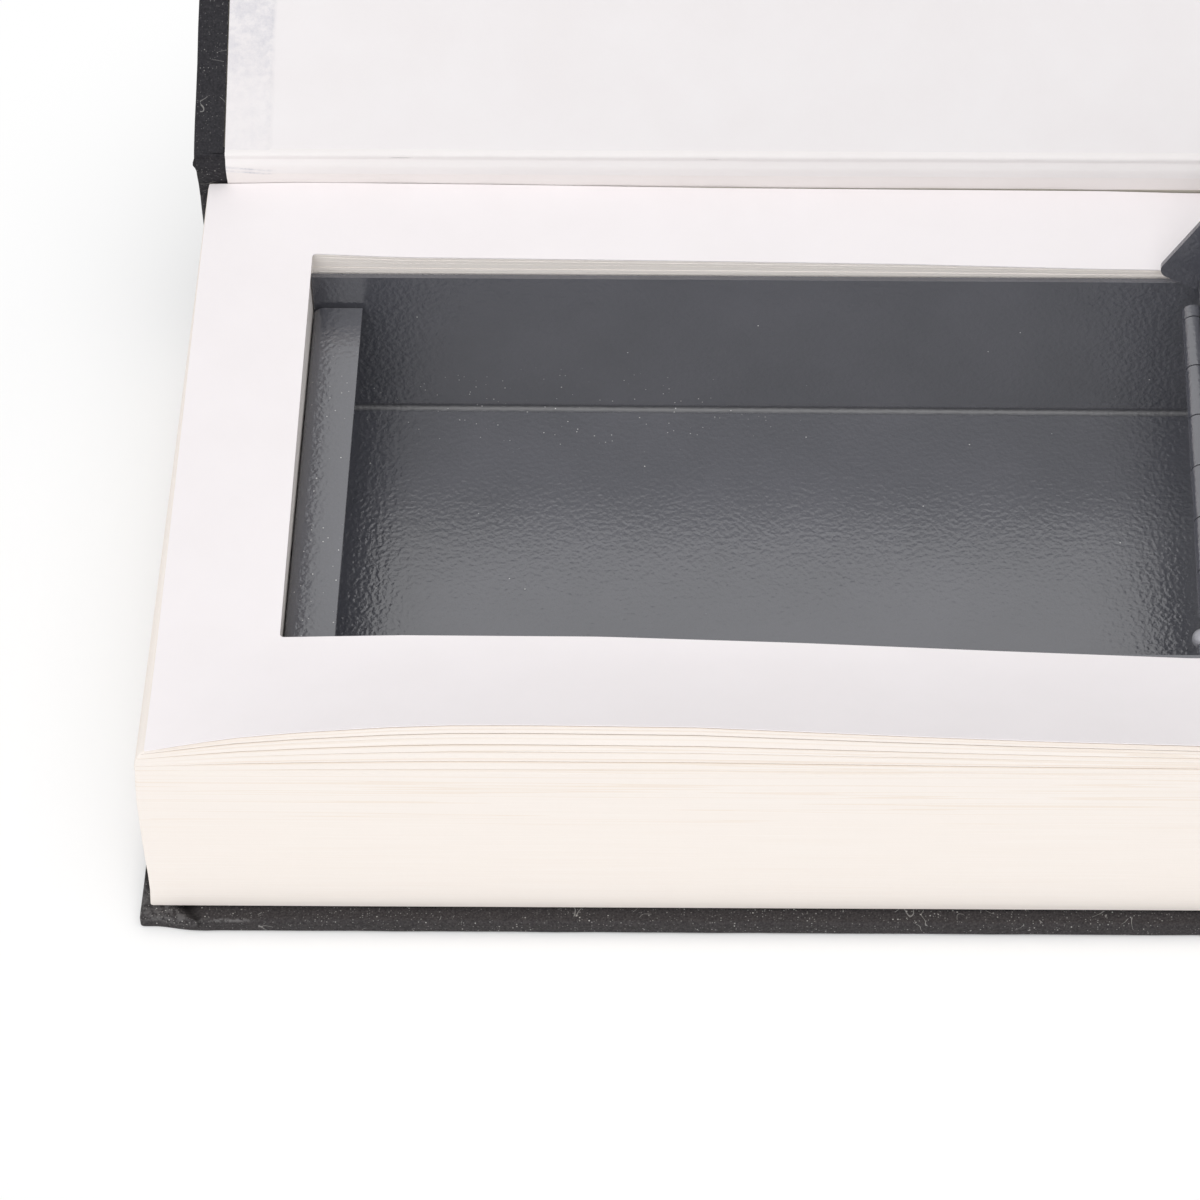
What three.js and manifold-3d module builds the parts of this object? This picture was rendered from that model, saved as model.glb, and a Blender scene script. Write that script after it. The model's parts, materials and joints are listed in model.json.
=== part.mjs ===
// A hollow book that hides a steel cash tray, open as it lies on a table.
// Millimetres. X runs along the spine, +Y is the spine side, +Z is up.
// The origin is the centre of the back cover's underside.
import * as THREE from "three";
import * as BufferGeometryUtils from "three/addons/utils/BufferGeometryUtils.js";
import Module from "manifold-3d";

const wasm = await Module();
wasm.setup();

// Clearances
const paperGap = 0.3;
const trayClearance = 0.6;
const lidSideClearance = 0.8;
const ledgeRest = 0.3;
const runningGap = 0.3;

// Cutting shapes run past what they cut, and joined shapes into each other
const overshoot = 1;
const overlap = 0.5;

// Case: boards, cloth and the joint
const endSquare = 4;
const foreEdgeSquare = 3.4;
const spineAllowance = 4.6;
const boardThickness = 2.2;
const spineBoardThickness = 1.5;
const clothThickness = 0.3;
const turnInWidth = 6.1;
const jointWidth = 6.6;
const creaseInset = 2.6;
const spineClothGap = 0.4;

// Page block
const pageLength = 228;
const pageDepth = 148;
const pageStackHeight = 46.3;
const pageSlant = 2.6;

// The book has been pushed askew: pages, spine, joint and front cover stand right of the back cover
const blockShift = 1;
const coverShift = 2.4;

// Page sections
const bottomPagesThickness = 1.3;
const sectionCount = 5;
const sheetThickness = 0.3;
const liningThickness = 0.4;

// Cut-out borders, from the pages' edges. The top sheet hangs over the left one.
const borderLeft = 21.4;
const borderBack = 19.6;
const borderFront = 27.8;
const borderRight = 23.2;
const sheetOverhang = 1.1;

// Tray: folded from one sheet
const traySheet = 1.1;
const trayRightGap = 1.9;
const rimBelowPages = 4.9;
const trayBend = 2.2;
const ledgeWidth = 10;
const ledgeBelowRim = 8.1;
const ledgeEndGap = 0.8;

// Piano hinge
const hingeAboveRim = 0.6;
const barrelRadius = 2.2;
const leafThickness = 0.8;
const pinRadius = 1.1;
const leafDepth = 14;
const hingeEndGap = 8.7;
const knucklePitch = 13.2;
const firstKnuckle = 3.1;
const pinOverhang = 0.6;
const rivetEndInset = 10.4;
const rivetInset = 10.3;
const rivetShank = 1.2;
const rivetHead = 2.4;
const rivetHeadHeight = 0.8;
const rivetHeadEdge = 0.56;
const rivetHeadFlat = 1.9;
const rivetTail = 2.15;

// Lid
const lidSheet = 1.1;
const lidCornerRadius = 2.4;
const lidEndGap = 3;
const foreFlangeCutback = 11;

// Button-headed stud on the tray's front wall, beside the hinge
const studNeck = 1.2;
const studHead = 2.05;
const studHeadLength = 1.8;
const studReach = 6.7;
const studTailInset = 0.1;
const studLeft = 1.9;
const studBelowLid = 0.3;

// Lock under the lid's free end
const lockEndInset = 12.6;
const lockCaseLength = 31;
const lockCaseWidth = 27;
const lockWall = 1.2;
const lockFloor = 1.0;
const lockEarWidth = 5;
const lockEarLength = 16;
const faceplateThickness = 0.8;
const faceplateMargin = 2;
const faceplateCorner = 3;
const dialRadius = 6;
const dialGrip = 0.35;
const dialSlotInset = 0.2;
const ridgeFootAngle = 7.2;
const ridgeCrestAngle = 2.7;
const dialWidth = 4.6;
const dialPitch = 6.4;
const dialCount = 3;
const dialDigits = 10;
const dialRise = 2.4;
const dialEndInset = 9;
const axleRadius = 1.3;
const boltThickness = 1.5;
const boltWidth = 12;
const boltLength = 30;
const boltBelowLedge = 0.5;
const boltStandBack = 1.5;
const boltTravel = 6;
const postWidth = 3;
const postLength = 4;
const buttonLength = 10;
const buttonWidth = 10;
const buttonHeight = 1.4;
const screwShank = 1.2;
const screwHead = 2.6;
const screwHeadHeight = 1.0;
const screwHeadFlat = 1.95;
const screwLength = 5;
const springThickness = 0.4;
const springHeight = 8;
const springRoot = 2;

// Rest pose, as the book lies open
const lidOpenAngle = 120;
const spineCreaseAngle = 73;
const boardCreaseAngle = 79;

// Round edges are cut into this many straight runs
const roundSteps = 24;
const cornerSteps = 5;

// Levels worked out from the sizes above
const caseLength = pageLength + 2 * endSquare;
const caseDepth = foreEdgeSquare + pageDepth + spineAllowance;
const caseLeft = -caseLength / 2;
const caseRight = caseLength / 2;
const caseFore = -caseDepth / 2;
const caseSpine = caseDepth / 2;
const coverLeft = caseLeft + coverShift;
const coverRight = caseRight + coverShift;
const backBoardLow = clothThickness + paperGap;
const backBoardHigh = backBoardLow + boardThickness;
const backInsideLow = backBoardHigh + paperGap;
const backInsideHigh = backInsideLow + sheetThickness;
const pagesLow = backInsideHigh + paperGap;
const pagesHigh = pagesLow + pageStackHeight;
const pageFore = caseFore + foreEdgeSquare;
const pageBack = pageFore + pageDepth;
const pageLeft = blockShift - pageLength / 2;
const pageRight = blockShift + pageLength / 2;
const cutLeft = pageLeft + borderLeft;
const cutRight = pageRight - borderRight;
const cutFore = pageFore + borderFront;
const cutBack = pageBack - borderBack;
const trayLow = pagesLow + bottomPagesThickness + paperGap;
const trayRim = pagesHigh - rimBelowPages;
const trayLeft = cutLeft + trayClearance;
const trayRight = cutRight - trayRightGap;
const trayFore = cutFore + trayClearance;
const trayBack = cutBack - trayClearance;
const trayMiddle = (trayFore + trayBack) / 2;
const ledgeTop = trayRim - ledgeBelowRim;
const ledgeRight = trayLeft + ledgeWidth;

const hingeX = trayRight - traySheet - runningGap - barrelRadius;
const hingeZ = trayRim + hingeAboveRim;
const knuckleBore = barrelRadius - leafThickness;
const knuckleClear = barrelRadius + runningGap;
const hingeBack = trayBack - traySheet - hingeEndGap;
const hingeFore = trayFore + traySheet + hingeEndGap;

const lidUnder = hingeZ;
const lidTop = lidUnder + lidSheet;
const lidFlangeLow = ledgeTop + ledgeRest;
const lidLeft = cutLeft + lidEndGap;
const lidRight = hingeX - knuckleClear;
const lidFore = trayFore + traySheet + lidSideClearance;
const lidBack = trayBack - traySheet - lidSideClearance;

const studX = hingeX - studLeft;
const studZ = lidUnder - studBelowLid - studHead;
const studHeadBack = trayFore + traySheet + studReach;

const lockLeft = lidLeft + lockEndInset;
const lockRight = lockLeft + lockCaseLength;
const lockHigh = lidUnder - runningGap;
const boltHigh = ledgeTop - traySheet - boltBelowLedge;
const boltLow = boltHigh - boltThickness;
const lockLow = boltLow - runningGap - lockFloor;
const boltTip = ledgeRight + boltStandBack;
const boltEnd = boltTip + boltLength;
const faceLow = lidTop + runningGap;
const faceHigh = faceLow + faceplateThickness;
const dialX = lockLeft + dialEndInset;
const dialZ = lidTop + dialRise - dialRadius;
const dialSpan = dialPitch * (dialCount - 1) + dialWidth;
const postRight = boltEnd;
const postLeft = postRight - postLength;
const slotLeft = postLeft - boltTravel - runningGap;
const slotRight = postRight + runningGap;
const lockMiddleX = (lockLeft + lockRight) / 2;
const earReach = lockCaseWidth / 2 + lockEarWidth;
const screwReach = lockCaseWidth / 2 + lockEarWidth / 2;

const creaseLevel = pagesHigh + 2 * paperGap + sheetThickness + clothThickness / 2;
const spineCrease = new THREE.Vector3(0, caseSpine - creaseInset, creaseLevel);
const boardCrease = spineCrease.clone().setY(spineCrease.y - jointWidth);
const coverLow = pagesHigh + paperGap;
const coverPaperHigh = coverLow + sheetThickness;
const frontBoardLow = coverPaperHigh + paperGap;
const frontBoardHigh = frontBoardLow + boardThickness;
const frontClothLow = frontBoardHigh + paperGap;
const frontClothHigh = frontClothLow + clothThickness;
const frontBack = boardCrease.y - paperGap;

// Colours of the finishes
function finish(color, roughness, metalness = 0) {
  return new THREE.MeshStandardMaterial({ color, roughness, metalness });
}
const clothFinish = finish(0x2b2b2f, 0.8);
const boardFinish = finish(0x8f8a80, 0.9);
const sheetFinish = finish(0xf1ebec, 0.85);
const pageFinish = finish(0xf5ecdc, 0.9);
const liningFinish = finish(0xe8e2d4, 0.9);
const paintFinish = finish(0x55565c, 0.45, 0.2);
const steelFinish = finish(0xa8aab0, 0.35, 0.9);
const dialFinish = finish(0x1c1c1f, 0.4);

// Booleans on closed meshes
function toSolid(geometry) {
  const bare = geometry.clone();
  bare.deleteAttribute("normal");
  bare.deleteAttribute("uv");
  const merged = BufferGeometryUtils.mergeVertices(bare, 1e-4);
  const vertProperties = new Float32Array(merged.attributes.position.array);
  const triVerts = new Uint32Array(merged.index.array);
  return new wasm.Manifold(new wasm.Mesh({ numProp: 3, vertProperties, triVerts }));
}

function toGeometry(solid) {
  const mesh = solid.getMesh();
  const geometry = new THREE.BufferGeometry();
  geometry.setAttribute("position", new THREE.BufferAttribute(new Float32Array(mesh.vertProperties), 3));
  geometry.setIndex(new THREE.BufferAttribute(new Uint32Array(mesh.triVerts), 1));
  geometry.computeVertexNormals();
  return geometry;
}

function joined(...geometries) {
  return toGeometry(geometries.map(toSolid).reduce((whole, piece) => whole.add(piece)));
}

function cut(base, ...tools) {
  return toGeometry(tools.map(toSolid).reduce((whole, tool) => whole.subtract(tool), toSolid(base)));
}

// Plain shapes between two corners, along X, along Y and along Z
function block(x, y, z) {
  const geometry = new THREE.BoxGeometry(2, 2, 2);
  const position = geometry.attributes.position;
  for (let index = 0; index < position.count; index += 1) {
    const ends = [position.getX(index), position.getY(index), position.getZ(index)];
    const [cornerX, cornerY, cornerZ] = [x, y, z].map((span, side) => span[ends[side] > 0 ? 1 : 0]);
    position.setXYZ(index, cornerX, cornerY, cornerZ);
  }
  return geometry;
}

function outline(points) {
  return new THREE.Shape(points.map(([a, b]) => new THREE.Vector2(a, b)));
}

// Runs a shape from one end of a span to the other; place turns its own axes into the book's
function extruded(shape, place, curveSegments) {
  const geometry = new THREE.ExtrudeGeometry(shape, { depth: 1, bevelEnabled: false, curveSegments });
  const position = geometry.attributes.position;
  for (let index = 0; index < position.count; index += 1) {
    const far = position.getZ(index) > 0.5 ? 1 : 0;
    position.setXYZ(index, ...place(position.getX(index), position.getY(index), far));
  }
  return geometry;
}

function alongX(shape, x, curveSegments = cornerSteps) {
  return extruded(shape, (a, b, far) => [x[far], a, b], curveSegments);
}

function alongY(shape, y, curveSegments = cornerSteps) {
  return extruded(shape, (a, b, far) => [a, y[1 - far], b], curveSegments);
}

function alongZ(shape, z, curveSegments = cornerSteps) {
  return extruded(shape, (a, b, far) => [a, b, z[far]], curveSegments);
}

function roundedRectangle(x, y, radius) {
  const shape = new THREE.Shape();
  shape.moveTo(x[0] + radius, y[0]);
  shape.lineTo(x[1] - radius, y[0]);
  shape.absarc(x[1] - radius, y[0] + radius, radius, -Math.PI / 2, 0, false);
  shape.lineTo(x[1], y[1] - radius);
  shape.absarc(x[1] - radius, y[1] - radius, radius, 0, Math.PI / 2, false);
  shape.lineTo(x[0] + radius, y[1]);
  shape.absarc(x[0] + radius, y[1] - radius, radius, Math.PI / 2, Math.PI, false);
  shape.lineTo(x[0], y[0] + radius);
  shape.absarc(x[0] + radius, y[0] + radius, radius, Math.PI, 1.5 * Math.PI, false);
  return shape;
}

function rodAlongY(radius, x, y, z) {
  const geometry = new THREE.CylinderGeometry(radius, radius, y[1] - y[0], roundSteps);
  return geometry.translate(x, (y[0] + y[1]) / 2, z);
}

function rodAlongX(radius, x, y, z) {
  const geometry = new THREE.CylinderGeometry(radius, radius, x[1] - x[0], roundSteps).rotateZ(Math.PI / 2);
  return geometry.translate((x[0] + x[1]) / 2, y, z);
}

function rodAlongZ(radius, x, y, z) {
  const geometry = new THREE.CylinderGeometry(radius, radius, z[1] - z[0], roundSteps).rotateX(Math.PI / 2);
  return geometry.translate(x, y, (z[0] + z[1]) / 2);
}

function piece(name, geometry, material) {
  const mesh = new THREE.Mesh(geometry, material);
  mesh.name = name;
  return mesh;
}

// Case

// A sheet of cloth round a board: the outer face at one level, turned in at the other
function wrappedCloth(x, y, outer, inner, openBack) {
  const low = Math.min(outer, inner);
  const high = Math.max(outer, inner);
  const insideX = [x[0] + clothThickness, x[1] - clothThickness];
  const insideY = [y[0] + clothThickness, openBack ? y[1] + overshoot : y[1] - clothThickness];
  const insideZ = [low + clothThickness, high - clothThickness];
  const windowX = [x[0] + turnInWidth, x[1] - turnInWidth];
  const windowY = [y[0] + turnInWidth, y[1] + overshoot];
  const insideFace = outer < inner ? [high - clothThickness, high] : [low, low + clothThickness];
  const windowZ = [insideFace[0] - overshoot, insideFace[1] + overshoot];
  return cut(block(x, y, [low, high]), block(insideX, insideY, insideZ), block(windowX, windowY, windowZ));
}

function caseCloth() {
  const wrapEnd = boardCrease.y;
  const spineTop = spineCrease.z + clothThickness / 2;
  const spineEdge = spineCrease.y + spineClothGap;
  const wrap = wrappedCloth([caseLeft, caseRight], [caseFore, wrapEnd], 0, backInsideHigh, true);
  const tail = outline([
    [wrapEnd - overshoot, 0],
    [caseSpine, 0],
    [caseSpine, spineTop],
    [spineEdge, spineTop],
    [spineEdge, spineTop - clothThickness],
    [caseSpine - clothThickness, spineTop - clothThickness],
    [caseSpine - clothThickness, clothThickness],
    [wrapEnd - overshoot, clothThickness],
  ]);
  return joined(wrap, alongX(tail, [coverLeft, coverRight]));
}

function backBoard() {
  const x = [caseLeft + clothThickness + paperGap, caseRight - clothThickness - paperGap];
  const y = [caseFore + clothThickness + paperGap, boardCrease.y - paperGap];
  return block(x, y, [backBoardLow, backBoardHigh]);
}

function spineBoard() {
  const x = [coverLeft + clothThickness + paperGap, coverRight - clothThickness - paperGap];
  const high = caseSpine - clothThickness - paperGap;
  const top = spineCrease.z - clothThickness / 2 - paperGap;
  return block(x, [high - spineBoardThickness, high], [backBoardLow, top]);
}

function pastedown(ends, level) {
  const inset = turnInWidth + paperGap;
  const x = [ends[0] + inset, ends[1] - inset];
  return block(x, [caseFore + inset, frontBack - clothThickness], level);
}

function frontCloth() {
  return wrappedCloth([coverLeft, coverRight], [caseFore, frontBack], frontClothHigh, coverLow, false);
}

function frontBoard() {
  const x = [coverLeft + clothThickness + paperGap, coverRight - clothThickness - paperGap];
  const y = [caseFore + clothThickness + paperGap, frontBack - clothThickness - paperGap];
  return block(x, y, [frontBoardLow, frontBoardHigh]);
}

function jointStrip(x, low, thickness) {
  return block(x, [boardCrease.y + paperGap, spineCrease.y - paperGap], [low, low + thickness]);
}

// Page block

// Lower pages stand further left, because the stack leans
function slantAt(z) {
  return -pageSlant * (pagesHigh - z) / pageStackHeight;
}

function cutPages(low, high, overhang = 0) {
  const shift = slantAt((low + high) / 2);
  const sheet = block([pageLeft + shift, pageRight + shift], [pageFore, pageBack], [low, high]);
  const x = [cutLeft + overhang, cutRight];
  const window = block(x, [cutFore, cutBack], [low - overshoot, high + overshoot]);
  return cut(sheet, window);
}

function bottomPages() {
  const shift = slantAt(pagesLow);
  const x = [pageLeft + shift, pageRight + shift];
  return block(x, [pageFore, pageBack], [pagesLow, pagesLow + bottomPagesThickness]);
}

function spineLining() {
  const x = [pageLeft, pageRight - pageSlant];
  const y = [pageBack + paperGap, pageBack + paperGap + liningThickness];
  return block(x, y, [pagesLow, pagesHigh - paperGap]);
}

// Tray

// The section across the tray, rounded where the sheet bends
function traySection(inset, top) {
  const radius = trayBend - inset;
  const low = trayLow + trayBend;
  const shape = new THREE.Shape();
  shape.moveTo(trayFore + inset, top);
  shape.lineTo(trayFore + inset, low);
  shape.absarc(trayFore + trayBend, low, radius, Math.PI, 1.5 * Math.PI, false);
  shape.lineTo(trayBack - trayBend, trayLow + inset);
  shape.absarc(trayBack - trayBend, low, radius, 1.5 * Math.PI, 2 * Math.PI, false);
  shape.lineTo(trayBack - inset, top);
  return shape;
}

// The left wall is shorter and bent inwards as the ledge that the bolt catches under
function trayLedge() {
  const inner = trayBend - traySheet;
  const foot = ledgeTop - 2 * trayBend;
  const shape = new THREE.Shape();
  shape.moveTo(trayLeft, foot);
  shape.lineTo(trayLeft + traySheet, foot);
  shape.lineTo(trayLeft + traySheet, ledgeTop - trayBend);
  shape.absarc(trayLeft + trayBend, ledgeTop - trayBend, inner, Math.PI, Math.PI / 2, true);
  shape.lineTo(ledgeRight, ledgeTop - traySheet);
  shape.lineTo(ledgeRight, ledgeTop);
  shape.lineTo(trayLeft + trayBend, ledgeTop);
  shape.absarc(trayLeft + trayBend, ledgeTop - trayBend, trayBend, Math.PI / 2, Math.PI, false);
  return alongY(shape, [trayFore + traySheet + ledgeEndGap, trayBack - traySheet - ledgeEndGap]);
}

function rivetPlaces() {
  const spacing = hingeBack - trayMiddle - rivetEndInset;
  return [-1, 0, 1].map((side) => trayMiddle + side * spacing);
}

function tray() {
  const outside = alongX(traySection(0, trayRim), [trayLeft, trayRight]);
  const innerX = [trayLeft + traySheet, trayRight - traySheet];
  const inside = alongX(traySection(traySheet, trayRim + overshoot), innerX);
  const aboveLedge = block(
    [trayLeft - overshoot, trayLeft + 2 * traySheet],
    [trayFore + traySheet, trayBack - traySheet],
    [ledgeTop - 2 * trayBend, trayRim + overshoot],
  );
  const holes = rivetPlaces().map((y) => {
    const x = [trayRight - 2 * traySheet, trayRight + overshoot];
    return rodAlongX(rivetShank + runningGap, x, y, hingeZ - rivetInset);
  });
  const throughWall = [trayFore - overshoot, trayFore + 2 * traySheet];
  const studHole = rodAlongY(studNeck + runningGap, studX, throughWall, studZ);
  return joined(cut(outside, inside, aboveLedge, ...holes, studHole), trayLedge());
}

// A stud about the Y axis, from the front wall's outer face to its rounded head
function trayStud() {
  const tail = trayFore + studTailInset;
  const headLow = studHeadBack - studHeadLength;
  const edge = studHeadLength / 3;
  const points = [
    [0, tail],
    [studNeck, tail],
    [studNeck, headLow],
    [studHead - edge / 2, headLow],
    [studHead, headLow + edge],
    [studHead, studHeadBack - edge],
    [studHead - edge, studHeadBack],
    [0, studHeadBack],
  ];
  const stud = new THREE.LatheGeometry(points.map(([r, y]) => new THREE.Vector2(r, y)), 20);
  return stud.translate(studX, 0, studZ);
}

// Piano hinge

// Knuckles run from the back end: a short first one, then full ones, and what is left
function knuckles() {
  const edges = [hingeBack, hingeBack - firstKnuckle];
  while (edges[edges.length - 1] - knucklePitch > hingeFore + knucklePitch / 4) {
    edges.push(edges[edges.length - 1] - knucklePitch);
  }
  edges.push(hingeFore);
  return edges.slice(1).map((low, index) => ({ low, high: edges[index], onTray: index % 2 === 0 }));
}

function barrelRing(y) {
  const shape = new THREE.Shape();
  shape.absarc(hingeX, hingeZ, barrelRadius, 0, 2 * Math.PI, false);
  const hole = new THREE.Path();
  hole.absarc(hingeX, hingeZ, knuckleBore, 0, 2 * Math.PI, true);
  shape.holes.push(hole);
  return alongY(shape, y, roundSteps);
}

function knuckleSpan(knuckle) {
  const low = knuckle.low === hingeFore ? knuckle.low : knuckle.low + runningGap / 2;
  const high = knuckle.high === hingeBack ? knuckle.high : knuckle.high - runningGap / 2;
  return [low, high];
}

function hingeTrayLeaf() {
  const x = [hingeX + knuckleBore, hingeX + barrelRadius];
  const plate = block(x, [hingeFore, hingeBack], [hingeZ - leafDepth, hingeZ - knuckleClear]);
  const rolls = knuckles().filter((knuckle) => knuckle.onTray).flatMap((knuckle) => {
    const y = knuckleSpan(knuckle);
    return [barrelRing(y), block(x, y, [hingeZ - knuckleClear - overlap, hingeZ])];
  });
  const holes = rivetPlaces().map((y) => {
    return rodAlongX(rivetShank + runningGap, [x[0] - overshoot, x[1] + overshoot], y, hingeZ - rivetInset);
  });
  const bore = rodAlongY(knuckleBore, hingeX, [hingeFore - overshoot, hingeBack + overshoot], hingeZ);
  return cut(joined(plate, ...rolls), bore, ...holes);
}

function hingeLidLeaf() {
  const z = [hingeZ + knuckleBore, hingeZ + barrelRadius];
  const plate = block([hingeX - leafDepth, hingeX - knuckleClear], [hingeFore, hingeBack], z);
  const rolls = knuckles().filter((knuckle) => !knuckle.onTray).flatMap((knuckle) => {
    const y = knuckleSpan(knuckle);
    return [barrelRing(y), block([hingeX - knuckleClear - overlap, hingeX], y, z)];
  });
  const holes = rivetPlaces().map((y) => {
    return rodAlongZ(rivetShank + runningGap, hingeX - rivetInset, y, [z[0] - overshoot, z[1] + overshoot]);
  });
  const bore = rodAlongY(knuckleBore, hingeX, [hingeFore - overshoot, hingeBack + overshoot], hingeZ);
  return cut(joined(plate, ...rolls), bore, ...holes);
}

function hingePin() {
  return rodAlongY(pinRadius, hingeX, [hingeFore - pinOverhang, hingeBack + pinOverhang], hingeZ);
}

// A rivet about the Y axis: domed head above grip height zero, flat tail below
function rivet(grip) {
  const points = [
    [0, -grip - rivetHeadHeight],
    [rivetHeadFlat, -grip - rivetHeadHeight],
    [rivetTail, -grip],
    [rivetShank, -grip],
    [rivetShank, 0],
    [rivetHead, 0],
    [rivetHeadFlat, rivetHeadEdge],
    [0, rivetHeadHeight],
  ];
  return new THREE.LatheGeometry(points.map(([r, h]) => new THREE.Vector2(r, h)), 16);
}

function trayRivet(y) {
  const grip = traySheet + leafThickness + 3 * runningGap;
  const face = hingeX + knuckleBore - runningGap;
  return rivet(grip).rotateZ(Math.PI / 2).translate(face, y, hingeZ - rivetInset);
}

function lidRivet(y) {
  const face = hingeZ + barrelRadius + runningGap;
  const grip = face - lidUnder + runningGap;
  return rivet(grip).rotateX(Math.PI / 2).translate(hingeX - rivetInset, y, face);
}

// Lid, modelled shut

function lidSideFlange(y, end) {
  const shape = new THREE.Shape();
  shape.moveTo(lidLeft, lidTop);
  shape.lineTo(lidLeft, lidFlangeLow);
  const corner = [end - lidCornerRadius, lidFlangeLow + lidCornerRadius];
  shape.lineTo(corner[0], lidFlangeLow);
  shape.absarc(...corner, lidCornerRadius, -Math.PI / 2, 0, false);
  shape.lineTo(end, lidTop);
  return alongY(shape, y);
}

function dialPlaces() {
  return Array.from({ length: dialCount }, (_, index) => {
    return trayMiddle + (index - (dialCount - 1) / 2) * dialPitch;
  });
}

function lidPan() {
  const plate = block([lidLeft, lidRight], [lidFore, lidBack], [lidUnder, lidTop]);
  const endFlange = block([lidLeft, lidLeft + lidSheet], [lidFore, lidBack], [lidFlangeLow, lidTop]);
  const foreFlange = lidSideFlange([lidFore, lidFore + lidSheet], hingeX - foreFlangeCutback);
  const backFlange = lidSideFlange([lidBack - lidSheet, lidBack], hingeX);
  const through = [lidUnder - overshoot, lidTop + overshoot];
  const dialReach = dialRadius + runningGap;
  const dialWindow = block(
    [dialX - dialReach, dialX + dialReach],
    [trayMiddle - dialSpan / 2 - runningGap, trayMiddle + dialSpan / 2 + runningGap],
    through,
  );
  const postReach = postWidth / 2 + runningGap;
  const postWindow = block([slotLeft, slotRight], [trayMiddle - postReach, trayMiddle + postReach], through);
  const rivetHoles = rivetPlaces().map((y) => {
    return rodAlongZ(rivetShank + runningGap, hingeX - rivetInset, y, through);
  });
  const screwHoles = [-1, 1].map((side) => {
    return rodAlongZ(screwShank + runningGap, lockMiddleX, trayMiddle + side * screwReach, through);
  });
  const pan = joined(plate, endFlange, foreFlange, backFlange);
  return cut(pan, dialWindow, postWindow, ...rivetHoles, ...screwHoles);
}

// Lock

function lockCase() {
  const half = lockCaseWidth / 2;
  const y = [trayMiddle - half, trayMiddle + half];
  const shell = block([lockLeft, lockRight], y, [lockLow, lockHigh]);
  const ears = block(
    [lockMiddleX - lockEarLength / 2, lockMiddleX + lockEarLength / 2],
    [trayMiddle - earReach, trayMiddle + earReach],
    [lockHigh - lockWall, lockHigh],
  );
  const hollow = block(
    [lockLeft + lockWall, lockRight - lockWall],
    [y[0] + lockWall, y[1] - lockWall],
    [lockLow + lockFloor, lockHigh + overshoot],
  );
  const boltGate = block(
    [lockLeft - overshoot, lockLeft + 2 * lockWall],
    [trayMiddle - boltWidth / 2 - runningGap, trayMiddle + boltWidth / 2 + runningGap],
    [lockLow + lockFloor, boltHigh + runningGap],
  );
  const axleBore = rodAlongY(axleRadius + runningGap, dialX, [y[0] - overshoot, y[1] + overshoot], dialZ);
  const screwHoles = [-1, 1].map((side) => {
    const through = [lockHigh - 2 * lockWall, lockHigh + overshoot];
    return rodAlongZ(screwShank + runningGap, lockMiddleX, trayMiddle + side * screwReach, through);
  });
  return cut(joined(shell, ears), hollow, boltGate, axleBore, ...screwHoles);
}

function lockFaceplate() {
  const x = [lockLeft - faceplateMargin, lockRight + faceplateMargin];
  const y = [trayMiddle - earReach, trayMiddle + earReach];
  const through = [faceLow - overshoot, faceHigh + overshoot];
  const dialReach = dialRadius - dialSlotInset;
  const dialSlots = dialPlaces().map((middle) => {
    const half = dialWidth / 2 + runningGap;
    return block([dialX - dialReach, dialX + dialReach], [middle - half, middle + half], through);
  });
  const postReach = postWidth / 2 + runningGap;
  const postSlot = block([slotLeft, slotRight], [trayMiddle - postReach, trayMiddle + postReach], through);
  const screwHoles = [-1, 1].map((side) => {
    return rodAlongZ(screwShank + runningGap, lockMiddleX, trayMiddle + side * screwReach, through);
  });
  const plate = alongZ(roundedRectangle(x, y, faceplateCorner), [faceLow, faceHigh]);
  return cut(plate, ...dialSlots, postSlot, ...screwHoles);
}

// A wheel with one flat for each number and a grip ridge at each corner
function dial(middle) {
  const shape = new THREE.Shape();
  const [foot, crest] = [ridgeFootAngle, ridgeCrestAngle].map(THREE.MathUtils.degToRad);
  const flat = dialRadius - dialGrip;
  const steps = [[-foot, flat], [-crest, dialRadius], [crest, dialRadius], [foot, flat]];
  for (let digit = 0; digit < dialDigits; digit += 1) {
    const angle = (digit * 2 * Math.PI) / dialDigits;
    for (const [turn, radius] of steps) {
      const x = dialX + radius * Math.cos(angle + turn);
      const z = dialZ + radius * Math.sin(angle + turn);
      if (digit === 0 && turn === steps[0][0]) {
        shape.moveTo(x, z);
      } else {
        shape.lineTo(x, z);
      }
    }
  }
  const hole = new THREE.Path();
  hole.absarc(dialX, dialZ, axleRadius + runningGap, 0, 2 * Math.PI, true);
  shape.holes.push(hole);
  return alongY(shape, [middle - dialWidth / 2, middle + dialWidth / 2]);
}

function dialAxle() {
  const reach = lockCaseWidth / 2;
  return rodAlongY(axleRadius, dialX, [trayMiddle - reach, trayMiddle + reach], dialZ);
}

// One leaf with a finger for each dial
function dialSpring() {
  const x = [lockLeft + lockWall + runningGap, lockLeft + lockWall + runningGap + springThickness];
  const z = [lockHigh - springHeight, lockHigh];
  const leaf = block(x, [trayMiddle - dialSpan / 2, trayMiddle + dialSpan / 2], z);
  const gaps = dialPlaces().slice(1).map((middle) => {
    const between = middle - dialPitch / 2;
    const half = (dialPitch - dialWidth) / 2;
    const y = [between - half, between + half];
    return block([x[0] - overshoot, x[1] + overshoot], y, [z[0] + springRoot, z[1] + overshoot]);
  });
  return cut(leaf, ...gaps);
}

function lockBolt() {
  const half = boltWidth / 2;
  const y = [trayMiddle - half, trayMiddle + half];
  const bar = block([boltTip, boltEnd], y, [boltLow, boltHigh]);
  const nose = outline([
    [boltTip - overshoot, boltLow - overshoot],
    [boltTip + boltThickness, boltLow - overshoot],
    [boltTip + boltThickness / 2, boltLow],
    [boltTip, boltLow + boltThickness / 2],
    [boltTip - overshoot, boltLow + boltThickness / 2],
  ]);
  return cut(bar, alongY(nose, [y[0] - overshoot, y[1] + overshoot]));
}

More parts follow.
